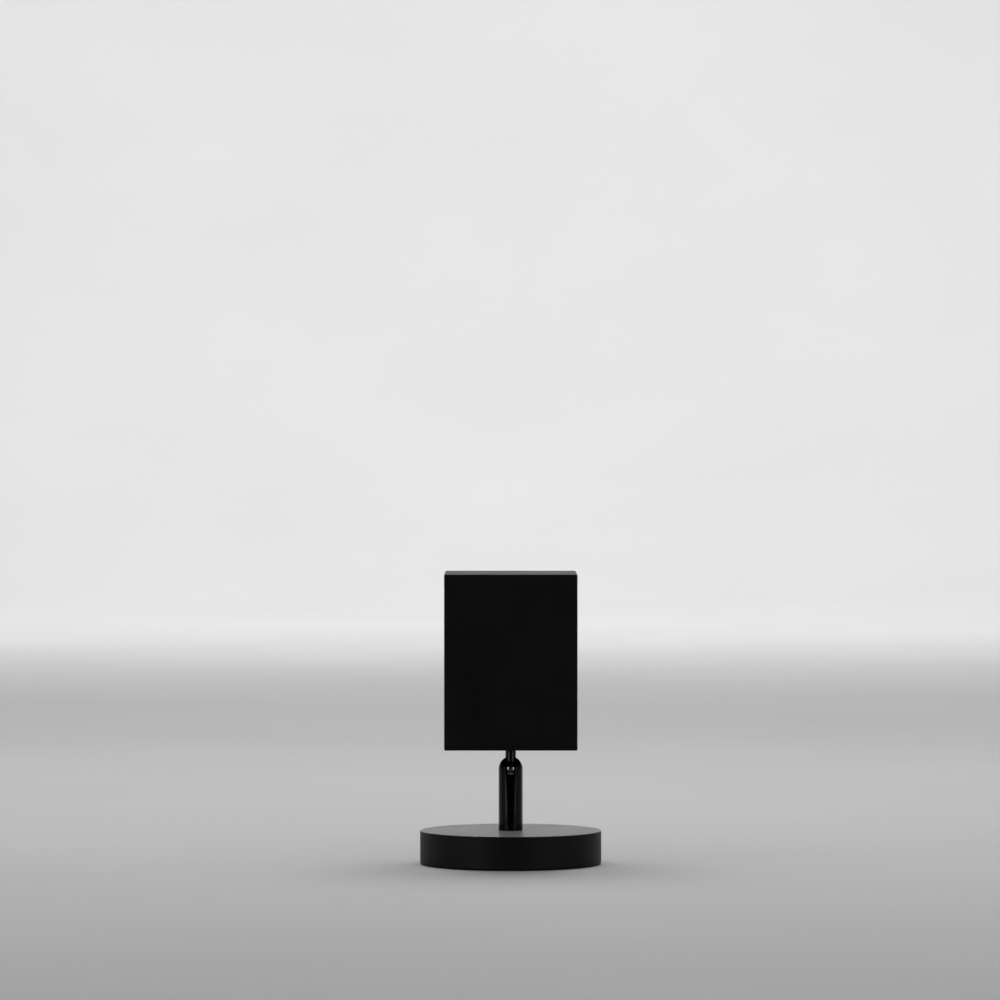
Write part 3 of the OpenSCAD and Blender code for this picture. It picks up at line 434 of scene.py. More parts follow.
wire(dust, dust_in, "Amount", dust_scale, 1)
wire(dust, dust_scale, "Value", dust_out, "Mask")


def place_of(tree, shift=(0, 0, 0), turn=(0, 0, 0), stretch=(1, 1, 1)):
    coordinates = put(tree, "ShaderNodeTexCoord")
    mapping = put(tree, "ShaderNodeMapping",
                  {"Location": shift, "Rotation": turn, "Scale": stretch})
    wire(tree, coordinates, "Object", mapping, "Vector")
    return mapping


dust_grey, dust_rough = (0.32, 0.31, 0.29, 1), 0.9


def finish(name, dark, light, rough, rough_spread=0.08, metal=0.0, pattern=grain,
           fineness=3000.0, relief=0.02, worn=None, dusty=0.0, place=None, **plain):
    material = bpy.data.materials.new(name)
    material.use_nodes = True
    tree = material.node_tree
    shader = tree.nodes["Principled BSDF"]
    shader.inputs["Metallic"].default_value = metal
    for key, value in plain.items():
        shader.inputs[key.replace("_", " ").title().replace("Ior", "IOR")].default_value = value
    where = place_of(tree, **(place or {}))
    surface = put(tree, "ShaderNodeGroup", {"Fineness": fineness}, node_tree=pattern)
    wire(tree, where, "Vector", surface, "Place")
    tone = put(tree, "ShaderNodeValToRGB")
    tone.color_ramp.elements[0].position = 0.3
    tone.color_ramp.elements[0].color = (*dark, 1)
    tone.color_ramp.elements[1].position = 0.7
    tone.color_ramp.elements[1].color = (*light, 1)
    wire(tree, surface, "Drift", tone, "Fac")
    gloss = put(tree, "ShaderNodeMapRange", {
        "From Min": 0.3, "From Max": 0.7,
        "To Min": max(rough - rough_spread / 2, 0.02), "To Max": rough + rough_spread / 2})
    wire(tree, surface, "Drift", gloss, "Value")
    colour, roughness = tone.outputs["Color"], gloss.outputs["Result"]
    if worn:
        rubbed = put(tree, "ShaderNodeGroup", {"Amount": worn[3]}, node_tree=wear)
        wire(tree, where, "Vector", rubbed, "Place")
        bare = put(tree, "ShaderNodeMix", {"B": (*worn[:3], 1)}, data_type="RGBA")
        wire(tree, rubbed, "Mask", bare, "Factor")
        tree.links.new(colour, bare.inputs["A"])
        colour = bare.outputs["Result"]
    if dusty:
        settled = put(tree, "ShaderNodeGroup", {"Amount": dusty}, node_tree=dust)
        wire(tree, where, "Vector", settled, "Place")
        grey = put(tree, "ShaderNodeMix", {"B": dust_grey}, data_type="RGBA")
        wire(tree, settled, "Mask", grey, "Factor")
        tree.links.new(colour, grey.inputs["A"])
        colour = grey.outputs["Result"]
        dull = put(tree, "ShaderNodeMix", {"B": dust_rough}, data_type="FLOAT")
        wire(tree, settled, "Mask", dull, "Factor")
        tree.links.new(roughness, dull.inputs["A"])
        roughness = dull.outputs["Result"]
    tree.links.new(colour, shader.inputs["Base Color"])
    tree.links.new(roughness, shader.inputs["Roughness"])
    bump = put(tree, "ShaderNodeBump", {"Strength": 1.0, "Distance": relief / 1000})
    wire(tree, surface, "Height", bump, "Height")
    wire(tree, bump, "Normal", shader, "Normal")
    return material


def pick_faces(piece, test):
    mesh = bmesh.from_edit_mesh(piece.data)
    for face in mesh.faces:
        face.select_set(bool(test(face.calc_center_median(), face.normal)))
    bmesh.update_edit_mesh(piece.data)


def dress_faces(piece, material, test):
    piece.data.materials.append(material)
    edit(piece)
    pick_faces(piece, test)
    piece.active_material_index = len(piece.data.materials) - 1
    bpy.ops.object.material_slot_assign()
    bpy.ops.object.mode_set(mode="OBJECT")


def seat_on(piece, body, slot, *stands_for):
    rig.ride(piece, body)
    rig.slot(piece, slot)
    if stands_for:
        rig.replaces(piece, *stands_for)


# Lit and shaded copies of one enamel, with the same colours: the skirt's copy is dulled so that it stays dark.
enamel_shaded_skirt_copy = finish(
    "enamel_shaded_skirt_copy", (0.0035, 0.0035, 0.004), (0.005, 0.005, 0.0055), 0.50, 0.06,
    fineness=900.0, relief=0.002, worn=(0.03, 0.03, 0.032, 0.5), specular_ior_level=0.14)
enamel_lit_top_copy = finish(
    "enamel_lit_top_copy", (0.0035, 0.0035, 0.004), (0.005, 0.005, 0.0055), 0.34, 0.05,
    fineness=900.0, relief=0.0008, worn=(0.03, 0.03, 0.032, 0.5), dusty=0.016,
    specular_ior_level=0.26, sheen_weight=0.32, sheen_roughness=0.35)

base_radius, base_top, sheet = 45.0, 16.7, 1.2
skirt_foot, pipe_hole, fold = 0.8, 5.1, 0.6
inner_bend, inner_break, outer_break = 0.5, 0.1, 0.15
bend_middle = 0.3 * inner_bend
inside, under_top = base_radius - sheet, base_top - sheet
inlet_hole, inlet_z = 3.8, 8.75

cover = lathe("base_cover_pressing", [
    (pipe_hole, under_top), (inside - inner_bend, under_top),
    (inside - bend_middle, under_top - bend_middle), (inside, under_top - inner_bend),
    (inside, skirt_foot + inner_break), (inside + inner_break, skirt_foot),
    (base_radius - outer_break, skirt_foot), (base_radius, skirt_foot + outer_break),
    *arc((base_radius - fold, base_top - fold), fold, 0, 90, 6),
    (pipe_hole, base_top), (pipe_hole, under_top),
], steps=192)
cut_away(cover, rod(inlet_hole, 5 * sheet, (0, base_radius - 0.5, inlet_z), "Y", 48))
smooth(cover, 30, keep_flats=True)
dress(cover, enamel_shaded_skirt_copy)
# The faces that look up take the lit copy, with its sheen, so that the top shows bright.
dress_faces(cover, enamel_lit_top_copy,
            lambda middle, normal: middle.z > under_top / 1000 and normal.z > 0.5)
seat_on(cover, "stand", "base_cover", "base_cover")


# ---- Post ----
# Turned and bored brass tube with a domed end, slotted on one side for the neck and plated in
# glossy black nickel. It is screwed down on the pipe that stands in the base.
def round_edges(piece, width, segments=3, above=40):
    apply_modifier(piece, "BEVEL", width=width / 1000, segments=segments,
                   limit_method="ANGLE", angle_limit=math.radians(above))


def block(size, middle):
    deselect()
    bpy.ops.mesh.primitive_cube_add(size=1, location=Vector(middle) / 1000)
    bpy.context.object.scale = Vector(size) / 1000
    bpy.ops.object.transform_apply(location=True, rotation=True, scale=True)
    return bpy.context.object


# Marks of a lathe: rings round the Z axis of the place that comes in
turned, turned_in, turned_out = new_group(
    "turning_marks",
    [("NodeSocketVector", "Place", None), ("NodeSocketFloat", "Fineness", 4000.0)],
    [("NodeSocketFloat", "Height"), ("NodeSocketFloat", "Drift")])
turned_split = put(turned, "ShaderNodeSeparateXYZ")
turned_flat = put(turned, "ShaderNodeCombineXYZ")
turned_radius = put(turned, "ShaderNodeVectorMath", operation="LENGTH")
turned_join = put(turned, "ShaderNodeCombineXYZ")
turned_fine = put(turned, "ShaderNodeTexNoise", {"Detail": 2.0, "Roughness": 0.7})
turned_slow = put(turned, "ShaderNodeTexNoise", {"Scale": 300.0, "Detail": 2.0})
wire(turned, turned_in, "Place", turned_split, "Vector")
wire(turned, turned_split, "X", turned_flat, "X")
wire(turned, turned_split, "Y", turned_flat, "Y")
wire(turned, turned_flat, "Vector", turned_radius, "Vector")
wire(turned, turned_radius, "Value", turned_join, "X")
wire(turned, turned_split, "Z", turned_join, "Y")
wire(turned, turned_join, "Vector", turned_fine, "Vector")
wire(turned, turned_join, "Vector", turned_slow, "Vector")
wire(turned, turned_in, "Fineness", turned_fine, "Scale")
wire(turned, turned_fine, "Fac", turned_out, "Height")
wire(turned, turned_slow, "Fac", turned_out, "Drift")

black_nickel = finish(
    "black_nickel", (0.006, 0.005, 0.0055), (0.010, 0.008, 0.009), 0.22, 0.05, metal=1.0,
    pattern=turned, fineness=5000.0, relief=0.0005, worn=(0.2, 0.18, 0.17, 0.35),
    coat_weight=0.18, coat_roughness=0.06)

post_radius, post_bore, pivot_z = 6.0, 4.5, 47.4
foot_thread, foot_edge = 5.0, 0.25
thread_top = base_top + 10
slot_width, slot_top, slot_front = 5.4, 56.0, -8.0
slot_back, slot_low = slot_width / 2, pivot_z - slot_width / 2

post = lathe("post_turning", [
    (foot_thread, base_top), (post_radius - foot_edge, base_top),
    (post_radius, base_top + foot_edge), (post_radius, pivot_z),
    *arc((0, pivot_z), post_radius, 4, 86, 22), (0, pivot_z + post_radius),
    (0, pivot_z + post_bore), *arc((0, pivot_z), post_bore, 86, 4, 16),
    (post_bore, pivot_z), (post_bore, thread_top), (foot_thread, thread_top),
    (foot_thread, base_top),
], steps=160)
slot_cutter = block(
    (slot_width, slot_back - slot_front, slot_top - slot_low),
    (0, (slot_back + slot_front) / 2, (slot_top + slot_low) / 2))
edit(slot_cutter, "EDGE")
close_by, long_edge = 0.0001, 0.005
pick_edges(slot_cutter, lambda middle, along: (
    (middle.z < slot_low / 1000 + close_by and abs(along.y) > long_edge)
    or (middle.y > slot_back / 1000 - close_by and abs(along.z) > long_edge)))
bpy.ops.mesh.bevel(offset=slot_width / 2000 - 1e-6, segments=20, affect="EDGES")
bpy.ops.object.mode_set(mode="OBJECT")
cut_away(post, slot_cutter)
round_edges(post, 0.12, 2, 50)
smooth(post, 40)
dress(post, black_nickel)
seat_on(post, "stand", "post", "post_tube")


# ---- Ball stud ----
# Turned steel ball with its neck and threaded end, bored for the leads. The neck is blackened
# and the ball is polished bright. It turns in the post's dome, and the neck leaves by the slot.
def thread(radius, depth, pitch, start, end):
    points = []
    height = start
    toward = 1 if end > start else -1
    while (end - height) * toward > pitch:
        points += [(radius, height + toward * pitch * 0.1),
                   (radius - depth, height + toward * pitch * 0.5),
                   (radius, height + toward * pitch * 0.9)]
        height += toward * pitch
    return points


ball_radius, neck_radius, stud_radius, wire_bore = 4.42, 2.6, 2.0, 1.2
neck_root, neck_top, stud_top = 51.2, 57.6, 65.94
neck_edge, key_flat = 0.15, 1.6
stud_thread, stud_thread_depth, stud_pitch = (60.4, 65.4), 0.28, 0.7
relief_mouth = (2.685, 43.889)

polished_ball = finish(
    "polished_ball", (0.34, 0.32, 0.335), (0.40, 0.38, 0.395), 0.05, 0.03, metal=1.0,
    pattern=turned, fineness=5000.0, relief=0.0004)
ball_tree = polished_ball.node_tree
ball_shader = ball_tree.nodes["Principled BSDF"]
ball_height = put(ball_tree, "ShaderNodeSeparateXYZ")
ball_black = put(ball_tree, "ShaderNodeMapRange", {
    "From Min": (neck_root - 0.5) / 1000, "From Max": (neck_root - 0.1) / 1000})
ball_tone = put(ball_tree, "ShaderNodeMix", {"B": (0.022, 0.02, 0.021, 1)}, data_type="RGBA")
wire(ball_tree, put(ball_tree, "ShaderNodeTexCoord"), "Object", ball_height, "Vector")
wire(ball_tree, ball_height, "Z", ball_black, "Value")
wire(ball_tree, ball_black, "Result", ball_tone, "Factor")
ball_tree.links.new(ball_shader.inputs["Base Color"].links[0].from_socket,
                    ball_tone.inputs["A"])
wire(ball_tree, ball_tone, "Result", ball_shader, "Base Color")

ball = lathe("ball_stud_turning", [
    relief_mouth, *arc((0, pivot_z), ball_radius, -52, 52, 40),
    (neck_radius + 0.02, neck_root - neck_edge), (neck_radius, neck_root),
    (neck_radius, neck_top - neck_edge), (neck_radius - neck_edge, neck_top),
    (stud_radius, neck_top), (stud_radius, stud_thread[0]),
    *thread(stud_radius, stud_thread_depth, stud_pitch, *stud_thread),
    (stud_radius, stud_top - 0.34), (stud_radius - 0.3, stud_top), (wire_bore, stud_top),
    (wire_bore, pivot_z), (wire_bore, pivot_z - 0.2), relief_mouth,
], steps=96)
cut_away(ball, block((2, 8, 6.4), (key_flat + 1, 0, stud_thread[0] + 3.1)))
smooth(ball, 35)
dress(ball, polished_ball)
seat_on(ball, "knuckle", "ball_stud", "ball_stud")


# ---- Friction washer ----
# Thin washer stamped from fibre sheet. It lies on the neck's shoulder, where the swivel spring
# presses the head on it, and lets the head swivel stiffly.
fibre = finish(
    "fibre_washer", (0.016, 0.014, 0.013), (0.028, 0.025, 0.022), 0.6, 0.15, fineness=5000.0,
    relief=0.01)

washer_hole, washer_radius, washer_thick, washer_edge = 2.05, 3.3, 0.6, 0.08
washer_top = neck_top + washer_thick

washer = lathe("friction_washer", [
    (washer_hole, neck_top), (washer_radius - washer_edge, neck_top),
    (washer_radius, neck_top + washer_edge), (washer_radius, washer_top - washer_edge),
    (washer_radius - washer_edge, washer_top), (washer_hole, washer_top),
    (washer_hole, neck_top),
], steps=64)
smooth(washer)
dress(washer, fibre)
seat_on(washer, "knuckle", "friction_washer", "neck_washer")


# ---- Head shell ----
# Box cast in aluminium with 2 mm walls, open at the front, with a boss in each corner for the
# front plate's screws and a peg that stops the swivel. It is coated with a fine black powder.
def weld_on(piece, other):
    apply_modifier(piece, "BOOLEAN", operation="UNION", solver="EXACT", object=other)
    bpy.data.objects.remove(other)


powder_coat = finish(
    "matt_powder_coat", (0.0035, 0.0035, 0.0038), (0.005, 0.005, 0.0055), 0.44, 0.08,
    fineness=2600.0, relief=0.006, worn=(0.03, 0.03, 0.032, 0.4), dusty=0.014,
    specular_ior_level=0.16)

head_width, head_depth, head_height, wall = 65.5, 65.5, 86.5, 2.0
head_foot, plate_back = washer_top, head_depth / 2 - 2.5
head_middle = head_foot + head_height / 2
inner_width, inner_height = head_width - 2 * wall, head_height - 2 * wall
inner_back, inner_foot = wall - head_depth / 2, head_foot + wall
past_front, sunk, pilot_hole = 2.5, 0.1, 1.25
boss = 6.0
boss_x = inner_width / 2 - boss / 2
low_boss, high_boss = inner_foot + boss / 2, inner_foot + inner_height - boss / 2
boss_length = plate_back - inner_back + sunk
boss_middle = (plate_back + inner_back - sunk) / 2
stub_radius, stub_length, stub_x = 2.5, 6.0, 20.5
stub_heights, stub_drill = (65.9, 81.25), -26.0
stub_middle = inner_back + (stub_length - sunk) / 2
swivel_hole, peg_radius, peg_height, peg_y = 2.06, 0.9, 2.0, -11

shell = block((head_width, head_depth, head_height), (0, 0, head_middle))
name_new("head_casting")
round_edges(shell, 0.6, 4)
cut_away(shell, block((inner_width, head_depth - wall + past_front, inner_height),
                      (0, (wall + past_front) / 2, head_middle)))
for side in (-1, 1):
    for height in (low_boss, high_boss):
        weld_on(shell, block((boss, boss_length, boss), (side * boss_x, boss_middle, height)))
        cut_away(shell, rod(pilot_hole, 8, (side * boss_x, plate_back - 3, height), "Y", 24))
    for height in stub_heights:
        stub_place = (side * stub_x, stub_middle, height)
        weld_on(shell, rod(stub_radius, stub_length + sunk, stub_place, "Y", 32))
        cut_away(shell, rod(pilot_hole, 6, (side * stub_x, stub_drill, height), "Y", 24))
cut_away(shell, rod(swivel_hole, 2 * wall, (0, 0, head_foot + 0.8), "Z", 48))
peg_middle = inner_foot + (peg_height - sunk) / 2
weld_on(shell, rod(peg_radius, peg_height + sunk, (0, peg_y, peg_middle), "Z", 32))
smooth(shell, 35, keep_flats=True)
dress(shell, powder_coat)
seat_on(shell, "head", "head_coat", "head_shell")


# ---- Front plate ----
# Flat aluminium plate, set half a millimetre back in the shell, with four countersunk holes and the round opening for
# the lens barrel. It is coated like the shell, a touch smoother, in a lit copy of the shell's coat: its colour is
# painted lighter and it is glossier, so that the front face, which gets little light, reads.
# Painted light: lighter colours than the shell's coat, although both are the same finish.
plate_coat_lit_copy = finish(
    "plate_coat_lit_copy", (0.006, 0.006, 0.0065), (0.008, 0.008, 0.0085), 0.40, 0.06,
    fineness=3000.0, relief=0.003, worn=(0.04, 0.04, 0.042, 0.5), specular_ior_level=0.45)

plate_thick, plate_gap, barrel_radius = 2.0, 0.2, 25.0
plate_front, plate_middle = plate_back + plate_thick, plate_back + plate_thick / 2
lens_z = head_middle + 10.5
screw_hole, screw_sink = 1.35, 2.4
sink_back, sink_front = plate_back - 1.25, plate_front + 0.75

plate = block((inner_width - 2 * plate_gap, plate_thick, inner_height - 2 * plate_gap),
              (0, plate_middle, head_middle))
name_new("front_cover_plate")
cut_away(plate, rod(barrel_radius + 0.1, 3 * plate_thick, (0, plate_middle, lens_z), "Y", 160))
for side in (-1, 1):
    for height in (low_boss, high_boss):
        cut_away(plate, lathe("countersink", [
            (0, sink_back), (screw_hole, sink_back),
            (screw_hole, plate_front - screw_sink + screw_hole), (screw_sink, plate_front),
            (screw_sink, sink_front), (0, sink_front),
        ], 48, "Y", (side * boss_x / 1000, 0, height / 1000)))
round_edges(plate, 0.2, 2, 40)
smooth(plate, 35, keep_flats=True)
dress(plate, plate_coat_lit_copy)
seat_on(plate, "head", "head_coat", "front_plate")


# ---- Front screws ----
# Four M2.5 countersunk screws with hexagon sockets, in black oxide steel. They hold the front
# plate on the bosses in the shell's corners.
black_oxide = finish(
    "black_oxide", (0.018, 0.018, 0.02), (0.03, 0.03, 0.033), 0.34, 0.12, metal=0.6,
    fineness=4000.0, relief=0.004, worn=(0.16, 0.155, 0.15, 0.5))

screw_face, screw_tip = plate_front - 0.05, 24.3
screw_head, screw_shank = 2.28, 1.2
screw_thread, screw_thread_depth, screw_pitch = (31.0, 24.6), 0.2, 0.45
socket_radius, socket_depth = 1.0, 1.2

screw = lathe("front_screws_set", [
    (0, screw_face), (screw_head - 0.08, screw_face), (screw_head, screw_face - 0.1),
    (screw_shank, screw_face - 1.05),
    *thread(screw_shank, screw_thread_depth, screw_pitch, *screw_thread),
    (screw_shank - 0.3, screw_tip), (0, screw_tip),
], 48, "Y", (-boss_x / 1000, 0, low_boss / 1000))
cut_away(screw, rod(socket_radius, 2 * socket_depth, (-boss_x, screw_face, low_boss), "Y", 6))
smooth(screw, 35)
across, up = 2 * boss_x / 1000, (high_boss - low_boss) / 1000
copies = []
for move_x, move_z in ((across, 0), (0, up), (across, up)):
    choose(screw)
    bpy.ops.object.duplicate()
    copies.append(bpy.context.object)
    copies[-1].location = (move_x, 0, move_z)
    bpy.ops.object.transform_apply(location=True, rotation=True, scale=True)
choose(screw)
for another in copies:
    another.select_set(True)
bpy.ops.object.join()
dress(screw, black_oxide)
seat_on(screw, "head", "black_screws", "front_screws")


# ---- Lens ring ----
# Ring turned in aluminium with seventy-two grip flutes, anodised black. It screws on the
# barrel's nose, clamps the plate and holds the lens in.
lens_axis = (0, 0, lens_z / 1000)
black_anodise = finish(
    "black_anodise", (0.016, 0.016, 0.018), (0.022, 0.022, 0.025), 0.28, 0.06, metal=0.4,
    pattern=turned, fineness=4000.0, relief=0.0008, worn=(0.12, 0.12, 0.125, 0.5),
    place={"shift": (0, lens_axis[2], 0), "turn": (math.pi / 2, 0, 0)})

ring_radius, ring_bore, ring_hole = 27.5, barrel_radius + 0.05, 21.7
ring_front, ring_chamfer = plate_front + 8, 0.6
flare_width, flare_depth = 2.15, 1.95
grip_radius, grip_back, grip_front, grip_edge = 27.3, 33.6, 37.35, 0.15
lip_back = grip_front + grip_edge
flutes, flute_land, flute_depth = 72, 0.12, 0.35
flute_turn = 360 / flutes

lens_ring = lathe("lens_ring_turning", [
    (ring_bore, plate_front), (ring_radius - grip_edge, plate_front),
    (ring_radius, plate_front + grip_edge), (ring_radius, grip_back - grip_edge),
    (grip_radius, grip_back), (grip_radius, grip_front), (ring_radius, lip_back),
    (ring_radius, ring_front - ring_chamfer), (ring_radius - ring_chamfer, ring_front),
    (ring_hole + flare_width, ring_front), (ring_hole, ring_front - flare_depth),
    (ring_hole, lip_back), (ring_bore, lip_back), (ring_bore, plate_front),
], 4 * flutes, "Y", lens_axis)
edit(lens_ring)
pick_faces(lens_ring, lambda middle, normal: (
    grip_back < 1000 * middle.y < grip_front
    and 1000 * math.hypot(middle.x, middle.z - lens_axis[2]) > ring_bore + 1
    and math.degrees(math.atan2(middle.z - lens_axis[2], middle.x)) % flute_turn
    < flute_turn / 2))
bpy.ops.mesh.inset(thickness=flute_land / 1000, depth=-flute_depth / 1000)
bpy.ops.object.mode_set(mode="OBJECT")
smooth(lens_ring, 30)
dress(lens_ring, black_anodise)
seat_on(lens_ring, "head", "lens_ring", "lens_ring")


# ---- Lens ----
# Biconvex lens moulded in clear acrylic, with its rim inked black against stray light. It lies
# in the barrel's nose, on a narrow seat, and throws the filter's picture on the wall.
def clear(name, tint, ior, smear):
    material = bpy.data.materials.new(name)
    material.use_nodes = True
    tree = material.node_tree
    shader = tree.nodes["Principled BSDF"]
    shader.inputs["Transmission Weight"].default_value = 1.0
    shader.inputs["IOR"].default_value = ior
    shader.inputs["Specular Tint"].default_value = (0, 0, 0, 1)
    shader.inputs["Coat Roughness"].default_value = 0.02
    outside = put(tree, "ShaderNodeMapRange", {"To Min": 1.0, "To Max": 0.0})
    wire(tree, put(tree, "ShaderNodeNewGeometry"), "Backfacing", outside, "Value")
    wire(tree, outside, "Result", shader, "Coat Weight")
    surface = put(tree, "ShaderNodeGroup", {"Fineness": 900.0}, node_tree=grain)
    wire(tree, place_of(tree), "Vector", surface, "Place")
    passed = put(tree, "ShaderNodeMapRange", {"To Min": 1.0, "To Max": 0.08})
    wire(tree, put(tree, "ShaderNodeLightPath"), "Is Shadow Ray", passed, "Value")
    wire(tree, passed, "Result", shader, "Alpha")
    haze = put(tree, "ShaderNodeMapRange", {
        "From Min": 0.6, "From Max": 0.8, "To Min": 0.0, "To Max": smear})
    wire(tree, surface, "Drift", haze, "Value")
    wire(tree, haze, "Result", shader, "Roughness")
    tone = put(tree, "ShaderNodeValToRGB")
    tone.color_ramp.elements[0].color = (*tint, 1)
    tone.color_ramp.elements[1].color = (*(min(1.0, c + 0.01) for c in tint), 1)
    wire(tree, surface, "Drift", tone, "Fac")
    wire(tree, tone, "Color", shader, "Base Color")
    return material


rim_ink = finish(
    "rim_ink", (0.006, 0.006, 0.006), (0.010, 0.010, 0.010), 0.7, 0.1, fineness=2000.0,
    relief=0.004, specular_ior_level=0.3)
clear_acrylic = clear("clear_acrylic", (0.965, 0.975, 0.98), 1.49, 0.02)


def curve_of(radius, curve):
    reach = round(math.sqrt(curve ** 2 - radius ** 2), 3)
    turn = round(math.degrees(math.acos(radius / curve)), 2)
    return reach, turn


glass_radius, glass_curve, glass_back, glass_front = 23, 36, 32.0, 34.5
reach, turn = curve_of(glass_radius, glass_curve)

front_glass = lathe("projection_lens", [
    *arc((0, glass_back + reach), glass_curve, -90, -turn, 24),
    (glass_radius, glass_back), (glass_radius, glass_front),
    *arc((0, glass_front - reach), glass_curve, turn, 90, 24),
], 144, "Y", lens_axis)
smooth(front_glass, 40)
dress(front_glass, clear_acrylic)
dress_faces(front_glass, rim_ink, lambda middle, normal: abs(normal.y) < 0.1)
seat_on(front_glass, "head", "lens_glass", "lens")


# ---- Lens barrel ----
# Barrel moulded in black polycarbonate. Its floor is clamped on the heat sink, its nose carries
# the lens, and fine ridges inside it swallow stray light.
black_moulding = finish(
    "black_moulding", (0.011, 0.011, 0.011), (0.017, 0.017, 0.017), 0.55, 0.12,
    fineness=2200.0, relief=0.01, specular_ior_level=0.4)

barrel_back, floor_front, floor_window, barrel_bore = -12.25, -9.75, 11.6, 22.5
flange_radius, flange_thick = 27.2, 2.0
nose_end, nose_thread, nose_thread_depth, nose_pitch = 36.649, (30.9, 36.3), 0.3, 0.9
lens_pocket, seat_front, seat_hole, seat_back = 23.15, 30.771, 21.5, 28.9
ridges, ridge_depth, ridge_pitch = (28.2, -9.2), 0.4, 1.1
clamp_ring, clamp_hole = 17.8, 1.6
clamp_x = round(clamp_ring * math.cos(math.radians(30)), 3)
clamp_places = ((clamp_x, lens_z - clamp_ring / 2), (-clamp_x, lens_z - clamp_ring / 2),
                (0, lens_z + clamp_ring))
wire_groove = (3.4, 1.65, 27)

barrel = lathe("barrel_moulding", [
    (floor_window, barrel_back), (barrel_radius - 0.2, barrel_back),
    (barrel_radius, barrel_back + 0.2), (barrel_radius, plate_back - flange_thick),
    (flange_radius, plate_back - flange_thick), (flange_radius, plate_back),
    (barrel_radius, plate_back),
    *thread(barrel_radius, nose_thread_depth, nose_pitch, *nose_thread),
    (barrel_radius - nose_thread_depth, nose_end), (lens_pocket, nose_end),
    (lens_pocket, seat_front), (seat_hole, seat_front), (seat_hole, seat_back),
    (barrel_bore, seat_back - 0.13),
    *thread(barrel_bore, -ridge_depth, ridge_pitch, *ridges),
    (barrel_bore, floor_front), (floor_window, floor_front), (floor_window, barrel_back),
], 128, "Y", lens_axis)
for x, z in clamp_places:
    cut_away(barrel, rod(clamp_hole, 4, (x, (barrel_back + floor_front) / 2, z), "Y", 32))
cut_away(barrel, block(wire_groove, (0, barrel_back + 0.8, lens_z - wire_groove[2] / 2)))
smooth(barrel, 30)
dress(barrel, black_moulding)
seat_on(barrel, "head", "barrel_plastic", "lens_barrel")


# ---- Filter holder ----
# Turned ring of black acetal on the barrel's floor. It takes the condenser from behind and the
# colour filter from the front, and three screws hold it.
holder_pocket, holder_flange, holder_radius, holder_front = 12.1, 20.5, 15.0, -0.026
flange_front = floor_front + 2
filter_pocket, filter_back, filter_window = 13.1, -2.426, 11.1
condenser_stop, small_break, outer_rim, inner_rim = -6.506, 0.2, -0.25, -0.2

holder = lathe("filter_holder_turning", [
    (holder_pocket, floor_front), (holder_flange, floor_front),
    (holder_flange, flange_front - small_break), (holder_flange - small_break, flange_front),
    (holder_radius, flange_front), (holder_radius, outer_rim),
    (holder_radius - small_break, holder_front), (filter_pocket + small_break, holder_front),
    (filter_pocket, inner_rim), (filter_pocket, filter_back), (filter_window, filter_back),
    (filter_window, condenser_stop), (holder_pocket, condenser_stop),
    (holder_pocket, floor_front),
], 128, "Y", lens_axis)
for x, z in clamp_places:
    cut_away(holder, rod(clamp_hole, 4, (x, flange_front - 1, z), "Y", 32))
smooth(holder, 30)
dress(holder, black_moulding)
seat_on(holder, "head", "barrel_plastic", "filter_holder")


# ---- Colour filter ----
# Glass disc with a coating that lets through pale green in the middle and runs over blue and violet to a red and
# orange rim. Lit from behind, it is the picture that the lens throws. Its glow is painted light: the disc emits in the
# coating's colours, in place of the light source shining through it.
disc_radius, disc_thick, disc_edge = 13, 1.2, 0.15
disc_front = filter_back + disc_thick
filter_glass_painted_glow = bpy.data.materials.new("coated_filter_glass_painted_glow")
filter_glass_painted_glow.use_nodes = True
filter_tree = filter_glass_painted_glow.node_tree
filter_shader = filter_tree.nodes["Principled BSDF"]
# Painted light: the disc's own emission stands in for the light passing through it.
filter_shader.inputs["Emission Strength"].default_value = 0.9
filter_shader.inputs["Coat Weight"].default_value = 0.6
filter_centre = place_of(filter_tree, shift=(0, 0, -lens_axis[2]))
filter_flat = put(filter_tree, "ShaderNodeVectorMath", operation="MULTIPLY")
filter_flat.inputs[1].default_value = (1, 0, 1)
filter_distance = put(filter_tree, "ShaderNodeVectorMath", operation="LENGTH")
filter_share = put(filter_tree, "ShaderNodeMapRange", {"From Max": disc_radius / 1000})
filter_colours = put(filter_tree, "ShaderNodeValToRGB")
for place, colour in ((0.0, (0.42, 1.0, 0.62)), (0.30, (0.16, 0.95, 0.78)),
                      (0.52, (0.16, 0.38, 0.72)), (0.68, (0.42, 0.10, 0.50)),
                      (0.84, (0.85, 0.05, 0.10)), (1.0, (1.0, 0.11, 0.01))):
    if place == 0.0:
        stop = filter_colours.color_ramp.elements[0]
    elif place == 1.0:
        stop = filter_colours.color_ramp.elements[-1]
    else:
        stop = filter_colours.color_ramp.elements.new(place)
    stop.color = (*colour, 1)
filter_surface = put(filter_tree, "ShaderNodeGroup", node_tree=grain)
filter_gloss = put(filter_tree, "ShaderNodeMapRange", {"To Min": 0.05, "To Max": 0.12})
wire(filter_tree, filter_centre, "Vector", filter_flat, 0)
wire(filter_tree, filter_flat, "Vector", filter_distance, "Vector")
wire(filter_tree, filter_distance, "Value", filter_share, "Value")
wire(filter_tree, filter_share, "Result", filter_colours, "Fac")
wire(filter_tree, filter_colours, "Color", filter_shader, "Base Color")
wire(filter_tree, filter_colours, "Color", filter_shader, "Emission Color")
wire(filter_tree, filter_centre, "Vector", filter_surface, "Place")
wire(filter_tree, filter_surface, "Drift", filter_gloss, "Value")
wire(filter_tree, filter_gloss, "Result", filter_shader, "Roughness")

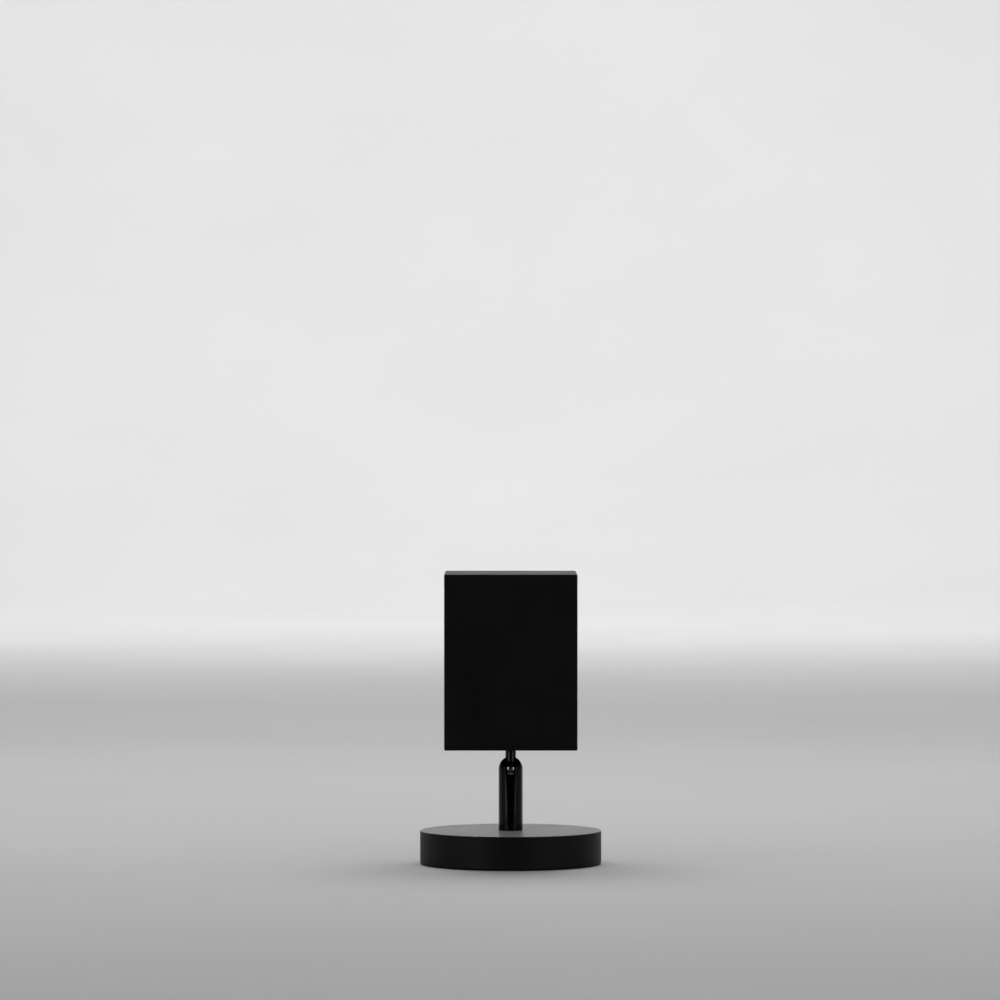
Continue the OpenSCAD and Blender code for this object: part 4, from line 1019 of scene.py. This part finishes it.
disc = lathe("coated_filter_disc", [
    (0, filter_back), (disc_radius - disc_edge, filter_back),
    (disc_radius, filter_back + disc_edge), (disc_radius, disc_front - disc_edge),
    (disc_radius - disc_edge, disc_front), (0, disc_front),
], 128, "Y", lens_axis)
smooth(disc, 30)
dress(disc, filter_glass_painted_glow)
seat_on(disc, "head", "filter_glass", "colour_filter")


# ---- Condenser ----
# Plano-convex lens pressed in optical glass. It lies in the back of the holder, close in front
# of the light source.
optical_glass = clear("optical_glass", (0.93, 0.965, 0.95), 1.52, 0.02)

condenser_radius, condenser_curve, condenser_back = 12, 18, -8.51
condenser_front = condenser_back + 1.2
reach, turn = curve_of(condenser_radius, condenser_curve)

condenser = lathe("condenser_lens", [
    (0, condenser_back), (condenser_radius, condenser_back),
    (condenser_radius, condenser_front),
    *arc((0, condenser_front - reach), condenser_curve, turn, 90, 20),
], 96, "Y", lens_axis)
smooth(condenser, 40)
dress(condenser, optical_glass)
dress_faces(condenser, rim_ink, lambda middle, normal: abs(normal.y) < 0.1)
seat_on(condenser, "head", "lens_glass", "condenser")


# ---- Foot pad ----
# Die-cut disc of black foam rubber, stuck under the bottom plate. Its edge is slightly rounded
# by the cutter, and its face has an open, sandy grain.
foam_rubber = finish(
    "foam_rubber", (0.012, 0.012, 0.012), (0.022, 0.022, 0.021), 0.85, 0.1,
    fineness=1600.0, relief=0.06)

pad_radius, pad_thick = 41.3, 2
pad = rod(pad_radius, pad_thick, (0, 0, pad_thick / 2), "Z", 160)
name_new("foot_pad_disc")
round_edges(pad, 0.3, 3)
smooth(pad, 40)
dress(pad, foam_rubber)
seat_on(pad, "stand", "foot_pad", "foot_pad")


# ---- Power inlet ----
# Barrel inlet moulded in black nylon. Its block lies in the ballast's pocket under a steel
# strap, and its round nose stands in the cover's hole, flush with the rim.
inlet_width, inlet_length, inlet_height = 9, 13, 6.5
nose_radius, nose_length, plug_bore, plug_depth, pin_hole = 3.6, 3, 2.8, 9.5, 1.05
inlet_front = round(math.sqrt(inside ** 2 - (inlet_width / 2) ** 2), 3) - 0.05
inlet_middle = inlet_front - inlet_length / 2
bore_middle = base_radius + 1 - (plug_depth + 1) / 2

inlet = block((inlet_width, inlet_length, inlet_height), (0, inlet_middle, inlet_z))
name_new("power_inlet_moulding")
round_edges(inlet, 0.3, 2)
nose_middle, pin_middle = base_radius - nose_length / 2, 33
weld_on(inlet, rod(nose_radius, nose_length, (0, nose_middle, inlet_z), "Y", 64))
cut_away(inlet, rod(plug_bore, plug_depth + 1, (0, bore_middle, inlet_z), "Y", 64))
cut_away(inlet, rod(pin_hole, 8, (0, pin_middle, inlet_z), "Y", 32))
round_edges(inlet, 0.12, 2, 50)
smooth(inlet, 35, keep_flats=True)
dress(inlet, black_moulding)
seat_on(inlet, "stand", "jack_body", "power_jack")


# ---- Ballast and bottom plate ----
# The weight is a disc of grey cast iron with a sandy skin. A zinc-plated plate closes the base
# from below, with three countersunk screws.
cast_iron = finish(
    "cast_iron", (0.055, 0.053, 0.05), (0.10, 0.098, 0.093), 0.72, 0.15, metal=0.5,
    fineness=900.0, relief=0.12)
zinc_plate = finish(
    "zinc_plate", (0.42, 0.43, 0.44), (0.55, 0.56, 0.57), 0.38, 0.16, metal=1.0,
    fineness=1800.0, relief=0.006)
dress(nodes["ballast_disc"], cast_iron)
for part in ("bottom_plate", "plate_screws", "jack_strap", "strap_screws", "sink_screws",
             "driver_screws", "nipple_washer"):
    dress(nodes[part], zinc_plate)


# ---- Brass parts ----
# The threaded pipe, its nut and the hollow plug under the springs are turned from bright brass.
# The pipe holds the post on the base, and the plug screws into the post from below.
brass = finish(
    "turned_brass", (0.58, 0.40, 0.16), (0.70, 0.50, 0.22), 0.26, 0.1, metal=1.0,
    pattern=turned, fineness=3500.0, relief=0.002)
for part in ("post_nipple", "nipple_nut", "seat_plug"):
    dress(nodes[part], brass)


# ---- Springs and swivel parts ----
# Disc springs and the filter's spring ring are hardened steel with a straw tint, and the stop
# washer and the nut are plain nickel-plated steel.
spring_steel = finish(
    "spring_steel", (0.30, 0.27, 0.22), (0.42, 0.38, 0.31), 0.3, 0.1, metal=1.0,
    fineness=3000.0, relief=0.003)
nickel_plate = finish(
    "nickel_plate", (0.55, 0.53, 0.49), (0.64, 0.62, 0.58), 0.22, 0.08, metal=1.0,
    fineness=3000.0, relief=0.002)
for part in ("disc_springs", "swivel_spring", "filter_ring"):
    dress(nodes[part], spring_steel)
for part in ("stop_washer", "swivel_nut", "jack_contacts"):
    dress(nodes[part], nickel_plate)


# ---- Ball seat ----
# Cup moulded in natural nylon that presses on the ball from below. Its colour is painted darker than natural nylon, as
# painted shade for the recess of the post's slot where the seat shows. The disc springs hold it up in the post's bore.
# Painted shade: both colours are darkened to stand in for the shade in the slot.
nylon_with_painted_shade = finish(
    "nylon_with_painted_shade", (0.24, 0.23, 0.19), (0.40, 0.38, 0.32), 0.36, 0.1,
    fineness=2500.0, relief=0.008, subsurface_weight=0.1)
dress(nodes["ball_seat"], nylon_with_painted_shade)


# ---- Sealing ring and thermal pad ----
# A black rubber cord ring lies between the lens and the ring's lip. The pad behind the heat
# sink is soft grey-blue silicone.
seal_rubber = finish(
    "seal_rubber", (0.010, 0.010, 0.010), (0.016, 0.016, 0.016), 0.6, 0.1, fineness=2500.0,
    relief=0.008)
silicone_pad = finish(
    "silicone_pad", (0.16, 0.20, 0.27), (0.21, 0.25, 0.32), 0.7, 0.1, fineness=1500.0,
    relief=0.02)
dress(nodes["lens_gasket"], seal_rubber)
dress(nodes["thermal_pad"], silicone_pad)


# ---- Heat sink ----
# Aluminium section with straight fins, sawn to length and left bright. Three screws clamp the
# board, the holder and the barrel on its flat face.
bright_aluminium = finish(
    "bright_aluminium", (0.60, 0.61, 0.62), (0.72, 0.73, 0.74), 0.34, 0.12, metal=1.0,
    fineness=2500.0, relief=0.006, place={"stretch": (1, 0.08, 1)})
dress(nodes["heat_sink"], bright_aluminium)


# ---- Light source ----
# A star-shaped aluminium board with a white mask carries the emitter, a ceramic square whose
# dome is filled with yellow phosphor.
white_mask = finish(
    "white_mask", (0.70, 0.71, 0.70), (0.82, 0.83, 0.82), 0.4, 0.1, fineness=2500.0,
    relief=0.006)
phosphor = finish(
    "phosphor", (0.80, 0.62, 0.12), (0.92, 0.74, 0.20), 0.25, 0.1, fineness=4000.0,
    relief=0.01, emission_strength=0.6, emission_color=(1.0, 0.85, 0.55, 1))
dress(nodes["led_board"], white_mask)
dress(nodes["led_emitter"], phosphor)


# ---- Driver ----
# Glass-fibre board with a green mask over its copper tracks, and the parts soldered on it. Four
# screws hold it on the stubs in the shell's back.
board_green = bpy.data.materials.new("board_green")
board_green.use_nodes = True
board_tree = board_green.node_tree
board_shader = board_tree.nodes["Principled BSDF"]
board_shader.inputs["Coat Weight"].default_value = 0.3
board_place = place_of(board_tree, turn=(math.pi / 2, 0, 0))
board_tracks = put(board_tree, "ShaderNodeTexBrick", {
    "Color1": (0.010, 0.11, 0.035, 1), "Color2": (0.012, 0.13, 0.04, 1),
    "Mortar": (0.03, 0.22, 0.08, 1), "Scale": 300.0, "Mortar Size": 0.05}, offset=0.35)
board_surface = put(board_tree, "ShaderNodeGroup", node_tree=grain)
board_gloss = put(board_tree, "ShaderNodeMapRange", {"To Min": 0.25, "To Max": 0.45})
wire(board_tree, board_place, "Vector", board_tracks, "Vector")
wire(board_tree, board_tracks, "Color", board_shader, "Base Color")
wire(board_tree, board_place, "Vector", board_surface, "Place")
wire(board_tree, board_surface, "Drift", board_gloss, "Value")
wire(board_tree, board_gloss, "Result", board_shader, "Roughness")
soldered_parts = finish(
    "soldered_parts", (0.05, 0.05, 0.052), (0.16, 0.16, 0.165), 0.4, 0.15, fineness=2500.0,
    relief=0.01)
dress(nodes["driver_board"], board_green)
dress(nodes["driver_parts"], soldered_parts)


# ---- Leads ----
# Stranded leads in soft PVC, one red and one black in every pair. They run in the base, in the
# stud's bore and in the head, and are soldered at their ends.
red_insulation = finish(
    "red_insulation", (0.36, 0.012, 0.010), (0.46, 0.02, 0.015), 0.4, 0.12, fineness=2500.0,
    relief=0.01)
black_insulation = finish(
    "black_insulation", (0.012, 0.012, 0.012), (0.02, 0.02, 0.02), 0.4, 0.12,
    fineness=2500.0, relief=0.01)
for part, body in (("base_leads", "stand"), ("stud_leads", "knuckle"),
                   ("supply_leads", "head"), ("led_leads", "head")):
    choose(nodes[part])
    bpy.ops.object.duplicate()
    pair = bpy.context.object
    pair.parent = None
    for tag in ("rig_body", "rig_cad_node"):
        if tag in pair:
            del pair[tag]
    edit(pair, "VERT")
    bpy.ops.mesh.select_all(action="SELECT")
    bpy.ops.mesh.remove_doubles(threshold=1e-6)
    bpy.ops.mesh.separate(type="LOOSE")
    bpy.ops.object.mode_set(mode="OBJECT")
    leads = sorted(bpy.context.selected_objects,
                   key=lambda o: sum(v.co.x for v in o.data.vertices) / len(o.data.vertices))
    for lead, shade, colour in zip(leads, (black_insulation, red_insulation), ("black", "red")):
        lead.name = lead.data.name = part[:-1] + "_" + colour
        smooth(lead, 50)
        dress(lead, shade)
        seat_on(lead, body, "lead_insulation", part)

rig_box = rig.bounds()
with open("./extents.json", "w") as out:
    json.dump({"cad": [list(v) for v in cad_box], "visual": [list(v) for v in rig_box]}, out)
